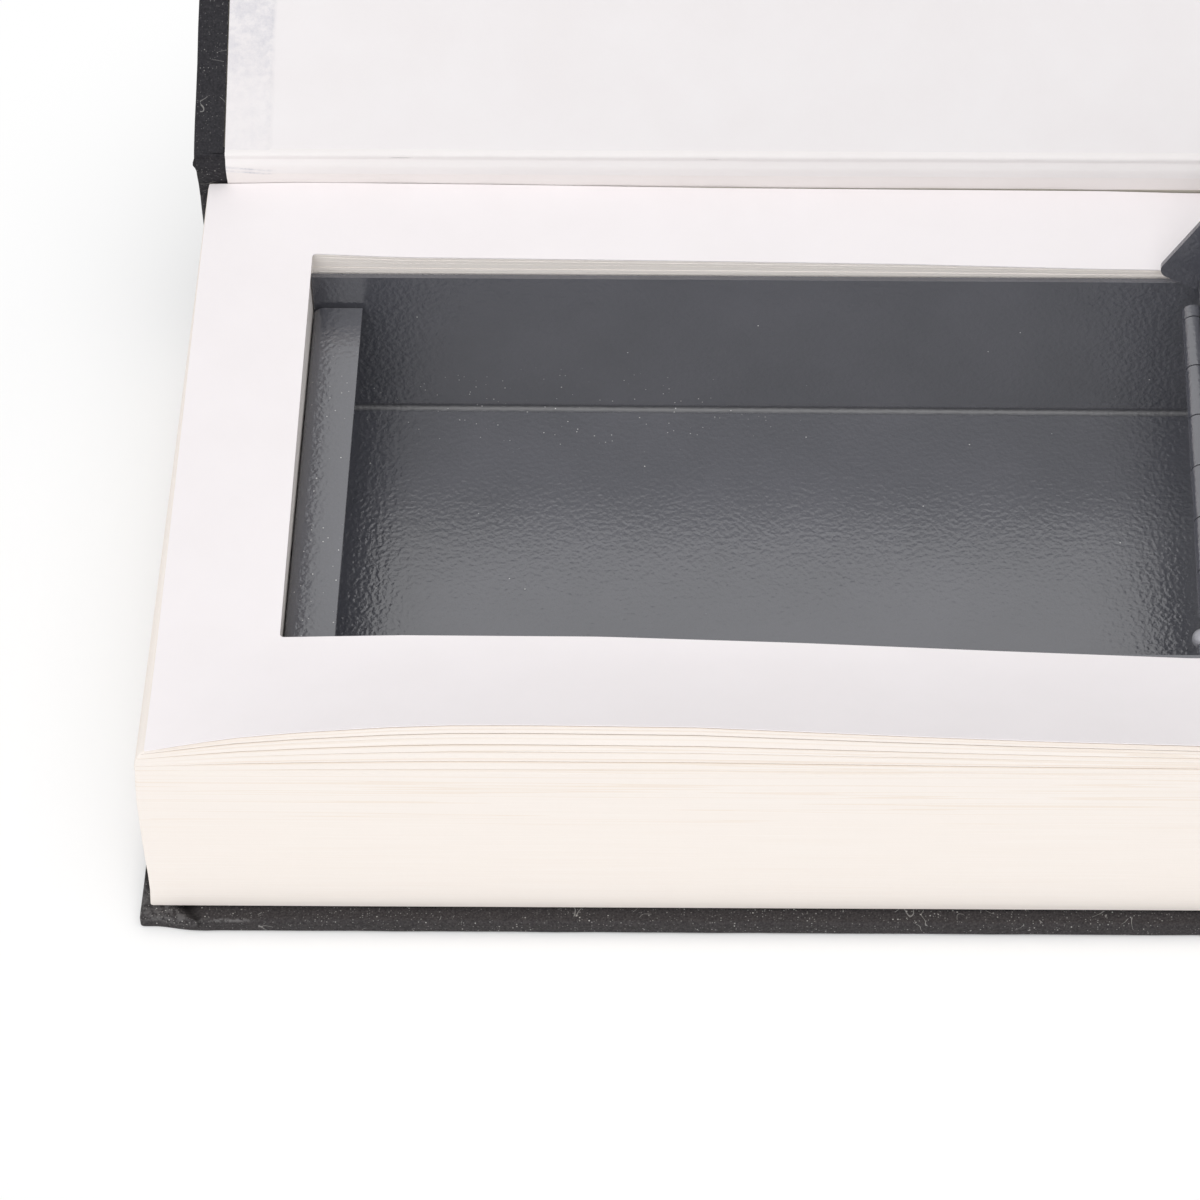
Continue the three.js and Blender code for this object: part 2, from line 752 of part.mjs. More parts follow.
function slideButton() {
  const low = faceHigh + runningGap;
  const middle = (postLeft + postRight) / 2;
  const x = [middle - buttonLength / 2, middle + buttonLength / 2];
  const y = [trayMiddle - buttonWidth / 2, trayMiddle + buttonWidth / 2];
  const knob = alongZ(roundedRectangle(x, y, faceplateCorner / 2), [low, low + buttonHeight]);
  const half = postWidth / 2;
  const postY = [trayMiddle - half, trayMiddle + half];
  const post = block([postLeft, postRight], postY, [boltHigh + runningGap, low + overlap]);
  return joined(knob, post);
}

function lockScrew(side) {
  const low = faceHigh + runningGap;
  const y = trayMiddle + side * screwReach;
  const points = [
    [0, -screwLength],
    [screwShank, -screwLength],
    [screwShank, 0],
    [screwHead, 0],
    [screwHeadFlat, screwHeadHeight],
    [0, screwHeadHeight],
  ];
  const screw = new THREE.LatheGeometry(points.map(([r, h]) => new THREE.Vector2(r, h)), 16);
  return screw.rotateX(Math.PI / 2).translate(lockMiddleX, y, low);
}

// A pair of groups that swings what is inside it about a line through a point
function swung(point, axis, degrees) {
  const outer = new THREE.Group();
  const inner = new THREE.Group();
  outer.position.copy(point);
  outer.rotation[axis] = THREE.MathUtils.degToRad(degrees);
  inner.position.copy(point).negate();
  outer.add(inner);
  return { outer, inner };
}

const book = new THREE.Group();

book.add(
  piece("case_cloth", caseCloth(), clothFinish),
  piece("back_board", backBoard(), boardFinish),
  piece("spine_board", spineBoard(), boardFinish),
  piece("back_pastedown", pastedown([caseLeft, caseRight], [backInsideLow, backInsideHigh]), sheetFinish),
  piece("bottom_pages", bottomPages(), pageFinish),
  piece("spine_lining", spineLining(), liningFinish),
);

const sectionsLow = trayLow;
const sectionsHigh = pagesHigh - sheetThickness - paperGap;
const sectionHeight = (sectionsHigh - sectionsLow - (sectionCount - 1) * paperGap) / sectionCount;
for (let index = 0; index < sectionCount; index += 1) {
  const low = sectionsLow + index * (sectionHeight + paperGap);
  book.add(piece(`page_section_${index + 1}`, cutPages(low, low + sectionHeight), pageFinish));
}
const topSheet = cutPages(pagesHigh - sheetThickness, pagesHigh, sheetOverhang);
book.add(piece("top_sheet", topSheet, sheetFinish));

book.add(
  piece("tray", tray(), paintFinish),
  piece("tray_stud", trayStud(), steelFinish),
  piece("hinge_tray_leaf", hingeTrayLeaf(), paintFinish),
  piece("hinge_pin", hingePin(), steelFinish),
);
rivetPlaces().forEach((y, index) => {
  book.add(piece(`tray_rivet_${index + 1}`, trayRivet(y), paintFinish));
});

const lid = swung(new THREE.Vector3(hingeX, 0, hingeZ), "y", lidOpenAngle);
lid.inner.add(
  piece("lid_pan", lidPan(), paintFinish),
  piece("hinge_lid_leaf", hingeLidLeaf(), paintFinish),
  piece("lock_case", lockCase(), steelFinish),
  piece("lock_faceplate", lockFaceplate(), steelFinish),
  piece("dial_axle", dialAxle(), steelFinish),
  piece("dial_spring", dialSpring(), steelFinish),
  piece("lock_bolt", lockBolt(), steelFinish),
  piece("slide_button", slideButton(), dialFinish),
  piece("lock_screw_1", lockScrew(-1), steelFinish),
  piece("lock_screw_2", lockScrew(1), steelFinish),
);
rivetPlaces().forEach((y, index) => {
  lid.inner.add(piece(`lid_rivet_${index + 1}`, lidRivet(y), paintFinish));
});
dialPlaces().forEach((middle, index) => {
  lid.inner.add(piece(`dial_${index + 1}`, dial(middle), dialFinish));
});
book.add(lid.outer);

const joint = swung(spineCrease, "x", -spineCreaseAngle);
const fullWidth = [coverLeft, coverRight];
const sheetInset = turnInWidth + paperGap;
const sheetWidth = [fullWidth[0] + sheetInset, fullWidth[1] - sheetInset];
const jointClothLow = spineCrease.z - clothThickness / 2;
joint.inner.add(
  piece("front_joint_cloth", jointStrip(fullWidth, jointClothLow, clothThickness), clothFinish),
  piece("front_joint_endpaper", jointStrip(sheetWidth, coverLow, sheetThickness), sheetFinish),
);
const cover = swung(boardCrease, "x", -boardCreaseAngle);
cover.inner.add(
  piece("front_cloth", frontCloth(), clothFinish),
  piece("front_board", frontBoard(), boardFinish),
  piece("front_pastedown", pastedown([coverLeft, coverRight], [coverLow, coverPaperHigh]), sheetFinish),
);
joint.inner.add(cover.outer);
book.add(joint.outer);

export default book;
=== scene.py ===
# %% [markdown]
# # A hollow book with a steel cash tray
#
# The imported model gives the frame: boards, sheets, tray, hinge, lid and lock, each in its true place. This
# lesson dresses it. Soft paper and cloth are built again with the curves that real pages and bookcloth
# take, the sheet metal gets its softened edges, and every surface gets a finish.

# %% Load the frame
import json
import math
import bmesh
import bpy
import numpy as np
from mathutils import Matrix, Vector


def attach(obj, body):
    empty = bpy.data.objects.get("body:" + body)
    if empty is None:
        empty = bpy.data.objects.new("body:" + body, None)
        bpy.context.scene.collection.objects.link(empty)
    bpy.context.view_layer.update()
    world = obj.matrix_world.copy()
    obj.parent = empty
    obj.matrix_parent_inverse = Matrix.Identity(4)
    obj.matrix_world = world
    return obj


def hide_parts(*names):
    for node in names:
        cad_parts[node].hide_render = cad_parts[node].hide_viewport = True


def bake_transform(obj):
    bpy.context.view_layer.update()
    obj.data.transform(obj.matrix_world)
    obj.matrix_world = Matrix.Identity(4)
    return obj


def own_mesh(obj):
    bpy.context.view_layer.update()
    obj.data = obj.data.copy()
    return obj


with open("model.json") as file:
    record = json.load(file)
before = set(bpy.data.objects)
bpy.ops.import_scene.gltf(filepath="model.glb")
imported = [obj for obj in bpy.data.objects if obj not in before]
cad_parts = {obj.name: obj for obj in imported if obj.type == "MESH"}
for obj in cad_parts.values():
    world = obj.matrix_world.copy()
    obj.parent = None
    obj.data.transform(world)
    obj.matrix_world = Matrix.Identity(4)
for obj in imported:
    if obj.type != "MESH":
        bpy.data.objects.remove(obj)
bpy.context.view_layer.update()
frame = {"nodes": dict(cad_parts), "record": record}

MM = 0.001
NODES = frame["nodes"]


def placed(name, data):
    made = bpy.data.objects.new(name, data)
    bpy.context.scene.collection.objects.link(made)
    return made


print("nodes in the frame:", len(NODES))

# %% [markdown]
# ## Camera
#
# The photograph was taken from in front and above, about fifty degrees down, with a long lens that hardly
# widens with distance. The camera's three directions come from its heading, its slope and a small roll.
# Writing them into a matrix places it exactly, with no aiming constraint.

# %% Place the camera
HEADING, SLOPE, ROLL = (math.radians(a) for a in (3.496, 49.708, -2.170))
CAMERA_PLACE = Vector((9.044, -668.359, 796.193)) * MM
SENSOR, LENS_PIXELS, PHOTO_PIXELS = 36, 5149.9, 1200


def camera_axes():
    level_share = math.cos(SLOPE)
    ahead = Vector((-math.sin(HEADING) * level_share, math.cos(HEADING) * level_share, -math.sin(SLOPE)))
    level = Vector((math.cos(HEADING), math.sin(HEADING), 0))
    right = math.cos(ROLL) * level + math.sin(ROLL) * level.cross(ahead)
    return right, right.cross(ahead).normalized(), ahead


right, above, ahead = camera_axes()
camera_data = bpy.data.cameras.new("camera")
camera_data.sensor_width = SENSOR
camera_data.lens = SENSOR * LENS_PIXELS / PHOTO_PIXELS
camera_data.clip_end = 20
camera = placed("camera", camera_data)
facing = Matrix((right, above, -ahead)).transposed()
camera.matrix_world = Matrix.Translation(CAMERA_PLACE) @ facing.to_4x4()
bpy.context.scene.camera = camera
print("lens", round(camera_data.lens, 1), "mm, up", [round(v, 3) for v in above])

# %% [markdown]
# ## Helpers for node trees
#
# The room's light, each finish and the fanned pages are all trees of nodes. One class saves typing for all
# of them: it adds a node, wires what it is given and does sums. A socket takes either a link or a plain
# number.

# %% A tree of nodes
def socket_of(node, name):
    return next(s for s in node.inputs if s.name == name and s.enabled)


class Tree:
    def __init__(self, tree):
        self.tree = tree

    def link(self, value, target):
        if isinstance(value, bpy.types.NodeSocket):
            self.tree.links.new(value, target)
        else:
            target.default_value = value

    def add(self, kind, links=None, **settings):
        node = self.tree.nodes.new(kind)
        for key, value in settings.items():
            setattr(node, key, value)
        for key, value in (links or {}).items():
            self.link(value, socket_of(node, key) if isinstance(key, str) else node.inputs[key])
        return node

    def math(self, kind, *values):
        return self.add("ShaderNodeMath", dict(enumerate(values)), operation=kind).outputs[0]

    def plus(self, first, second):
        return self.math("ADD", first, second)

    def minus(self, first, second):
        return self.math("SUBTRACT", first, second)

    def most(self, first, second):
        return self.math("MAXIMUM", first, second)

    def times(self, first, *others):
        for other in others:
            first = self.math("MULTIPLY", first, other)
        return first

    def step(self, value, low, high, to_low=0.0, to_high=1.0, **settings):
        links = {"Value": value, "From Min": low, "From Max": high, "To Min": to_low, "To Max": to_high}
        return self.add("ShaderNodeMapRange", links, **settings).outputs["Result"]

    def looked_at(self):
        """One for what the camera, gloss and glass see, and zero for the light that reaches the object."""
        path = self.add("ShaderNodeLightPath").outputs
        return self.most(self.most(path["Is Camera Ray"], path["Is Glossy Ray"]), path["Is Transmission Ray"])


# %% [markdown]
# A finish is a tree round one Principled shader. Patterns read Object coordinates, which are metres here,
# so a noise scale of 1000 makes marks about a millimetre wide. Specks are the middles of some of the cells
# in a cell pattern: share says how many cells have one, and radius how much of its cell a speck fills.

# %% A finish
class Finish(Tree):
    def __init__(self, name, color=(0.8, 0.8, 0.8), roughness=0.5, **values):
        self.material = bpy.data.materials.new(name)
        self.material.use_nodes = True
        super().__init__(self.material.node_tree)
        self.shader = self.tree.nodes["Principled BSDF"]
        self.shader.inputs["Base Color"].default_value = (*color, 1)
        self.shader.inputs["Roughness"].default_value = roughness
        for key, value in values.items():
            self.shader.inputs[key.replace("_", " ")].default_value = value
        self.where = self.place()

    def feed(self, name, value):
        self.tree.links.new(value, self.shader.inputs[name])

    def place(self, stretch=(1, 1, 1)):
        where = self.add("ShaderNodeTexCoord").outputs["Object"]
        return self.add("ShaderNodeMapping", {"Vector": where, "Scale": stretch}).outputs["Vector"]

    def attribute(self, name):
        return self.add("ShaderNodeAttribute", attribute_name=name).outputs["Fac"]

    def noise(self, scale, detail=3.0, roughness=0.5, where=None):
        where = self.where if where is None else where
        links = {"Vector": where, "Scale": scale, "Detail": detail, "Roughness": roughness}
        return self.add("ShaderNodeTexNoise", links).outputs["Fac"]

    def mix(self, share, first, second):
        first, second = ((*side, 1) if isinstance(side, tuple) else side for side in (first, second))
        links = {"Factor": share, "A": first, "B": second}
        return self.add("ShaderNodeMix", links, data_type="RGBA").outputs["Result"]

    def bump(self, height, distance, strength=1.0):
        links = {"Height": height, "Distance": distance, "Strength": strength}
        self.feed("Normal", self.add("ShaderNodeBump", links).outputs["Normal"])

    def specks(self, scale, share, radius):
        cells = self.add("ShaderNodeTexVoronoi", {"Vector": self.where, "Scale": scale}).outputs
        near = self.step(cells["Distance"], radius, radius * 0.5)
        picked = self.add("ShaderNodeSeparateColor", {"Color": cells["Color"]}).outputs["Red"]
        return self.times(near, self.math("GREATER_THAN", picked, 1 - share))

    def near_spot(self, spot, stretch, reach):
        links = {0: self.place(stretch), 1: tuple(a * b for a, b in zip(spot, stretch))}
        away = self.add("ShaderNodeVectorMath", links, operation="DISTANCE").outputs["Value"]
        return self.step(away, reach, reach * 0.4)


# %% [markdown]
# ## Light and floor
#
# The object lies on a white sweep in soft light. A pale world lights it from all round. A wide lamp high in
# front gives the tray its sheen, and a lower one at the left lights the edges of the pages. What the
# camera, gloss and glass see of the world is plain white, while the light that reaches the object stays at
# a level where a colour renders as it is written.

# %% Light the scene
WORLD_LEVEL = 0.66
bpy.context.scene.view_settings.view_transform = "Standard"
world = bpy.data.worlds.new("soft_room")
bpy.context.scene.world = world
world.use_nodes = True
sky = Tree(world.node_tree)
background = sky.tree.nodes["Background"]
background.inputs["Color"].default_value = (1, 1, 1, 1)
sky.link(sky.step(sky.looked_at(), 0.0, 1.0, WORLD_LEVEL, 1.0), background.inputs["Strength"])


def lamp(name, place, size, power):
    data = bpy.data.lights.new(name, "AREA")
    data.shape = "RECTANGLE"
    data.size, data.size_y = size
    data.energy = power
    made = placed(name, data)
    made.location = place
    made.rotation_euler = (-Vector(place)).to_track_quat("-Z", "Y").to_euler()


lamp("wide_lamp", place=(-0.10, -1.20, 2.20), size=(3.4, 2.8), power=36.0)
lamp("front_lamp", place=(-1.30, -1.80, 0.90), size=(3.4, 2.2), power=10.0)
print("world level", WORLD_LEVEL)

# %% [markdown]
# The floor is matt white and takes the soft shadow of the book. Away from the book it turns into an even
# white, but only for what the camera, gloss and glass see, so that the sweep has no horizon in any view.

# %% Lay the floor
FLOOR_SIZE, FADE_START, FADE_END = 6.0, 0.09, 0.23
half = FLOOR_SIZE / 2
floor_mesh = bpy.data.meshes.new("floor")
floor_corners = [(-half, -half, 0), (half, -half, 0), (half, half, 0), (-half, half, 0)]
floor_mesh.from_pydata(floor_corners, [], [(0, 1, 2, 3)])
floor = placed("floor", floor_mesh)

sweep = Finish("white_sweep", (0.95, 0.95, 0.95), 1.0, Specular_IOR_Level=0.0)
away = sweep.add("ShaderNodeVectorMath", {0: sweep.where}, operation="LENGTH").outputs["Value"]
fade = sweep.step(away, FADE_START, FADE_END, interpolation_type="SMOOTHSTEP")
glow = sweep.add("ShaderNodeEmission")
sides = {0: sweep.times(sweep.looked_at(), fade), 1: sweep.shader.outputs[0], 2: glow.outputs[0]}
blended = sweep.add("ShaderNodeMixShader", sides)
sweep.link(blended.outputs[0], sweep.tree.nodes["Material Output"].inputs[0])
floor_mesh.materials.append(sweep.material)
print("floor", FLOOR_SIZE, "m across")

# %% [markdown]
# ## Finishes
#
# ** Cash-tray paint** is a dark grey powder coat. It flows while it bakes and leaves the low waves called
# orange peel, which only show where the surface mirrors something bright, so they belong in the bump and
# not in the colour. A second, finer noise breaks the gloss up. The pale specks are lint and dust, which
# gathers along the tray's back bend and on its ledge. In the bend itself the paint lies thicker, which
# leaves it duller, and its colour is darker there: painted shade in the crease. Each of these places is a
# spot, the stretch of the space round it and a reach, all in metres.

# %% Powder-coat paint
BEND_DUST = ((-0.040, 0.0505, 0.0075), (0.22, 1, 1), 0.012)
LEDGE_DUST = ((-0.085, -0.012, 0.037), (1, 0.35, 1), 0.020)
BACK_BEND = ((0, 0.0518, 0.0067), (0, 1, 1), 0.0011)
PAINT_GREYS = (0.088, 0.090, 0.106), (0.104, 0.105, 0.124)
BEND_SHADE_GREY, PALE_DUST = (0.036, 0.036, 0.043), (0.66, 0.66, 0.65)


def painted_steel():
    paint = Finish("grey_powder_coat", Specular_IOR_Level=1.0, IOR=1.68)
    peel = paint.noise(1050, 1.5, 0.45)
    fine = paint.noise(4200, 2.0, 0.5)
    paint.bump(paint.math("MULTIPLY_ADD", fine, 0.12, peel), 0.00012)
    cloud = paint.step(paint.noise(45), 0.35, 0.7)
    grain = paint.step(fine, 0.3, 0.7, -0.25, 0.25)
    lint = paint.specks(300, share=0.22, radius=0.05)
    dusty = paint.most(paint.near_spot(*BEND_DUST), paint.near_spot(*LEDGE_DUST))
    dust = paint.times(paint.specks(850, share=0.42, radius=0.14), dusty)
    # Painted shade: the base colour darkens in the back bend, where the thicker paint is also duller.
    shaded_pooled_bend = paint.near_spot(*BACK_BEND)
    grey = paint.mix(shaded_pooled_bend, paint.mix(paint.plus(cloud, grain), *PAINT_GREYS), BEND_SHADE_GREY)
    paint.feed("Base Color", paint.mix(paint.most(lint, dust), grey, PALE_DUST))
    gloss = paint.step(fine, 0.3, 0.7, 0.14, 0.21)
    paint.feed("Roughness", paint.math("MULTIPLY_ADD", shaded_pooled_bend, 0.35, gloss))
    return paint.material


# %% [markdown]
# **Plated steel** for the lock and the pin: bright zinc, with long faint brushing and a slightly duller
# cloud here and there. **Nickel**, for the stud, is duller still.

# %% Plated steel and nickel
ZINC_TINTS = (0.52, 0.53, 0.55), (0.46, 0.46, 0.465)
NICKEL_TINTS = (0.40, 0.40, 0.43), (0.34, 0.34, 0.37)


def plated_steel():
    zinc = Finish("zinc_plate", Metallic=1.0)
    brush = zinc.noise(420, 4.0, 0.6, zinc.place((1, 14, 14)))
    zinc.feed("Base Color", zinc.mix(zinc.step(zinc.noise(160), 0.3, 0.75), *ZINC_TINTS))
    zinc.feed("Roughness", zinc.step(brush, 0.3, 0.7, 0.26, 0.42))
    zinc.bump(brush, 0.00004, 0.6)
    return zinc.material


def dull_nickel():
    nickel = Finish("dull_nickel", Metallic=0.25)
    cloud = nickel.step(nickel.noise(700), 0.3, 0.7)
    nickel.feed("Base Color", nickel.mix(cloud, *NICKEL_TINTS))
    nickel.feed("Roughness", nickel.step(cloud, 0.0, 1.0, 0.38, 0.50))
    return nickel.material


# %% [markdown]
# ** Bookcloth** here is a black paper-backed leatherette. Its grain is a fine pebble, made from cells about
# half a millimetre wide with thin valleys. Pale specks in loose clusters are painted glints on the tips of
# the grain, with some dust among them, and a few short fibres cling to it. The fibres are where one noise
# crosses its middle value, cut short by a second noise. An attribute called worn says how much a place was
# handled: it sets how strongly the specks show and scuffs the edges, and where it is low it turns a faded
# warm black into a darker, bluer one, which is painted shade on cloth that faces the lamps, such as the open
# cover's inside. A second attribute gives the inside of a folded corner its painted shade.

# %% Cover cloth
PAINTED_SHADE_BLACKS = (0.008, 0.008, 0.011), (0.020, 0.019, 0.024)
FADED_BLACKS = (0.020, 0.018, 0.019), (0.046, 0.041, 0.042)
SCUFFED_GREY, GLINT_DUST_FIBRE_GREY, TUCK_SHADE_BLACK = (0.15, 0.145, 0.145), (0.46, 0.45, 0.43), (0.006, 0.005, 0.005)


def cover_cloth():
    cloth = Finish("black_leatherette", Specular_IOR_Level=0.22)
    worn = cloth.attribute("worn")
    cells = {"Vector": cloth.where, "Scale": 1500}
    pebbles = cloth.add("ShaderNodeTexVoronoi", cells, feature="SMOOTH_F1").outputs["Distance"]
    grain = cloth.math("MULTIPLY_ADD", pebbles, -0.8, cloth.noise(800, 3.0, 0.6))
    cloth.bump(grain, 0.00012, 0.8)
    shade = cloth.step(cloth.noise(2300, 2.0, 0.6), 0.36, 0.66)
    # A darker, bluer black, painted shade, where the cloth is little worn; a faded warm one elsewhere.
    shade_black, faded = cloth.mix(shade, *PAINTED_SHADE_BLACKS), cloth.mix(shade, *FADED_BLACKS)
    black = cloth.mix(cloth.step(worn, 0.1, 0.5), shade_black, faded)
    cluster = cloth.step(cloth.noise(140, 2.0), 0.36, 0.62, 0.25, 1.0)
    amount = cloth.times(cluster, cloth.step(worn, 0.0, 0.5, 0.35, 1.0))
    # Specks: painted glints on the tips of the grain, with some dust among them.
    wide = cloth.times(cloth.specks(1150, share=0.30, radius=0.20), amount)
    tiny = cloth.times(cloth.specks(2200, share=0.34, radius=0.30), cloth.times(amount, 0.5))
    contour = cloth.math("COMPARE", cloth.noise(170, 1.0), 0.5, 0.004)
    cut_short = cloth.math("GREATER_THAN", cloth.noise(230, 0.0), 0.66)
    fibres = cloth.times(contour, cut_short, 0.38)
    marks = cloth.most(cloth.most(wide, tiny), fibres)
    scuffed = cloth.times(cloth.step(worn, 0.6, 1.0), cloth.step(cloth.noise(1300), 0.42, 0.60))
    speckled = cloth.mix(marks, cloth.mix(scuffed, black, SCUFFED_GREY), GLINT_DUST_FIBRE_GREY)
    # Painted shade inside the tuck of a folded corner.
    cloth.feed("Base Color", cloth.mix(cloth.attribute("tucked"), speckled, TUCK_SHADE_BLACK))
    cloth.feed("Roughness", cloth.step(grain, -0.2, 0.5, 0.7, 0.5))
    return cloth.material


# %% [markdown]
# ** Paper** comes in two kinds. The endpapers are heavier and cooler, almost white with a breath of pink, and
# yellower in the gutter. The same nodes serve copies whose brightness makes up for how light falls on each
# piece, which is painted light and shade: brightest on the top sheet, less on the gutter and the joint, and
# darkest on the pastedown. The text paper is cream. Both have a soft cloudiness, as light passes the fibres
# unevenly. An endpaper darkens a little where glue and cloth lie under it, which an attribute called glued
# tells. On the text block the lines of the sheets follow an attribute called layer, the height of each point
# in the closed stack, so they bend with the pages; the thin tan ones are painted shade between sheets. Two
# more draw a tan line of painted shade where a gathering parts from the next: depth, the distance below its
# top, and opened, which is zero where the gatherings still lie closed. The walls of the cut-out take a
# brighter cream with paler, fainter lines: painted light in the shade of the cut-out.

# %% Endpaper
STAIN = (0.50, 0.50, 0.56)


def white_paper(name, clear, shaded):
    paper = Finish(name, roughness=0.9, Specular_IOR_Level=0.15)
    white = paper.mix(paper.step(paper.noise(60, 5.0, 0.6), 0.35, 0.65), clear, shaded)
    blots = paper.step(paper.noise(420, 5.0, 0.7), 0.40, 0.70, 0.10, 1.0)
    paper.feed("Base Color", paper.mix(paper.times(paper.attribute("glued"), blots), white, STAIN))
    paper.bump(paper.noise(2600, 3.0, 0.6), 0.00002, 0.5)
    return paper.material


# %% Text paper with its sheet lines
CREAMS, SHADE_TAN = ((0.845, 0.780, 0.727), (0.865, 0.810, 0.765)), (0.76, 0.63, 0.50)
LIT_WALL_CREAM, LIT_WALL_SHADE_TAN = (0.975, 0.925, 0.885), (0.84, 0.75, 0.66)
CUT_WALL_X, CUT_WALL_Y, CUT_WALL_MIDDLE = (0.0985, 0.0935), (0.056, 0.0525), 0.0035


def text_paper():
    paper = Finish("cream_text_paper", roughness=0.92, Specular_IOR_Level=0.12)
    layer, depth, opened = (paper.attribute(key) for key in ("layer", "depth", "opened"))
    x, y, _ = paper.add("ShaderNodeSeparateXYZ", {"Vector": paper.where}).outputs
    slow = paper.add("ShaderNodeCombineXYZ", {"X": paper.times(paper.plus(x, y), 9.0), "Z": layer}).outputs[0]
    sheets = paper.noise(2.6, 4.0, 0.75, slow)
    cream = paper.mix(paper.step(sheets, 0.30, 0.66), *CREAMS)
    # Thin tan lines of painted shade between sheets, in the upper part of the stack.
    crossing = paper.math("COMPARE", paper.noise(0.42, 2.0, 0.6, slow), 0.5, 0.014)
    thin = paper.times(crossing, paper.step(layer, 27.0, 33.0, 0.0, 0.30))
    # The tan line below each gathering's top, where it parts from the next, is painted shade.
    below_top = paper.times(paper.step(depth, 0.10, 0.55, 1.0, 0.0), opened)
    parting_shade = paper.times(below_top, paper.step(paper.noise(0.33, 1.0, where=slow), 0.34, 0.60, 0.06, 0.50))
    line = paper.most(thin, paper.times(parting_shade, paper.math("GREATER_THAN", depth, 0.0)))
    # On the cut-out's walls, a brighter cream and a paler tan: painted light in the shade of the cut-out.
    in_x = paper.step(paper.math("ABSOLUTE", x), *CUT_WALL_X)
    in_y = paper.step(paper.math("ABSOLUTE", paper.minus(y, CUT_WALL_MIDDLE)), *CUT_WALL_Y)
    lit_wall = paper.mix(paper.times(line, 0.5), LIT_WALL_CREAM, LIT_WALL_SHADE_TAN)
    paper.feed("Base Color", paper.mix(paper.times(in_x, in_y), paper.mix(line, cream, SHADE_TAN), lit_wall))
    paper.bump(sheets, 0.00018, 0.35)
    return paper.material


# %% [markdown]
# **Greyboard**, the **lining** of mull and paper, and the **black plastic** of the dials and the slide are
# seldom seen, but they show as soon as a cover moves or the part is taken to pieces. **White ink** fills
# the dials' numbers.

# %% Board, lining, plastic and ink
BOARD_TINTS = (0.24, 0.22, 0.19), (0.36, 0.34, 0.30)
MULL_WEAVE = {"Scale": 900.0, "Color1": (0.80, 0.76, 0.66, 1), "Color2": (0.74, 0.70, 0.61, 1),
              "Mortar": (0.45, 0.42, 0.36, 1), "Mortar Size": 0.12}
PLASTIC_BLACK = (0.018, 0.018, 0.019)
INK_TINTS = (0.80, 0.80, 0.78), (0.62, 0.62, 0.60)


def grey_board():
    board = Finish("grey_board", roughness=0.95)
    fleck = board.step(board.noise(900, 5.0, 0.7), 0.35, 0.7)
    board.feed("Base Color", board.mix(fleck, *BOARD_TINTS))
    board.bump(fleck, 0.00005, 0.4)
    return board.material


def mull():
    lining = Finish("mull_lining", roughness=0.95)
    weave = lining.add("ShaderNodeTexBrick", {"Vector": lining.where, **MULL_WEAVE})
    lining.feed("Base Color", weave.outputs["Color"])
    lining.bump(weave.outputs["Fac"], 0.00006, 0.5)
    return lining.material


def black_plastic():
    plastic = Finish("black_plastic", PLASTIC_BLACK)
    plastic.feed("Roughness", plastic.step(plastic.noise(900), 0.3, 0.7, 0.32, 0.46))
    plastic.bump(plastic.noise(2500, 2.0), 0.00001, 0.5)
    return plastic.material


def white_ink():
    ink = Finish("white_ink", roughness=0.55)
    ink.feed("Base Color", ink.mix(ink.step(ink.noise(2600, 3.0, 0.6), 0.3, 0.7), *INK_TINTS))
    return ink.material


FINISH = {
    "painted_steel": painted_steel(),
    "plated_steel": plated_steel(),
    "cover_cloth": cover_cloth(),
    # The pastedown's endpaper is the darkest copy: painted shade where it faces the lamps.
    "endpaper": white_paper("white_endpaper", (0.805, 0.778, 0.785), (0.791, 0.760, 0.766)),
    "pages": text_paper(),
    "board": grey_board(),
    "lining": mull(),
    "dial_plastic": black_plastic(),
}
# Brighter copies of the endpaper for the top sheet, the gutter and the joint: painted light. The gutter's
# yellower tint is its own.
LIT_TOP_SHEET_PAPER = white_paper("clean_endpaper", (0.890, 0.850, 0.862), (0.875, 0.835, 0.845))
LIT_GUTTER_PAPER = white_paper("gutter_endpaper", (0.872, 0.830, 0.815), (0.856, 0.812, 0.796))
LIT_JOINT_PAPER = white_paper("joint_endpaper", (0.850, 0.818, 0.814), (0.834, 0.800, 0.795))
print("finishes:", ", ".join(FINISH))

# %% [markdown]
# The record says which slot each node belongs to. Every node takes the finish of its slot, also those that
# soft pieces will stand in for.

# %% Give each node its finish
SLOT = {row["node"]: row["material_slot"] for row in frame["record"]["subparts"]}
BODY = {node: body for body, members in frame["record"]["behaviour"]["bodies"].items() for node in members}
for name, node in NODES.items():
    node.data.materials.clear()
    node.data.materials.append(FINISH[SLOT[name]])
print("slots:", sorted(set(SLOT.values())))

# %% [markdown]
# ## Shapes from loops
#
# Sheets, blocks and covered boards are all rectangles with something happening towards their rims. One
# builder serves them all: a list of closed loops with equal numbers of points, skinned from each to the
# next. The first and the last loop are either capped, for a solid block, or joined, for a ring with a
# window in it. A piece keeps numbers for its points, such as wear, as attributes that its finish or a
# modifier can read.

# %% A loop with rounded corners
SIDE_X, SIDE_Y, CORNER_STEPS = [i / 40 for i in range(41)], [i / 24 for i in range(25)], 3


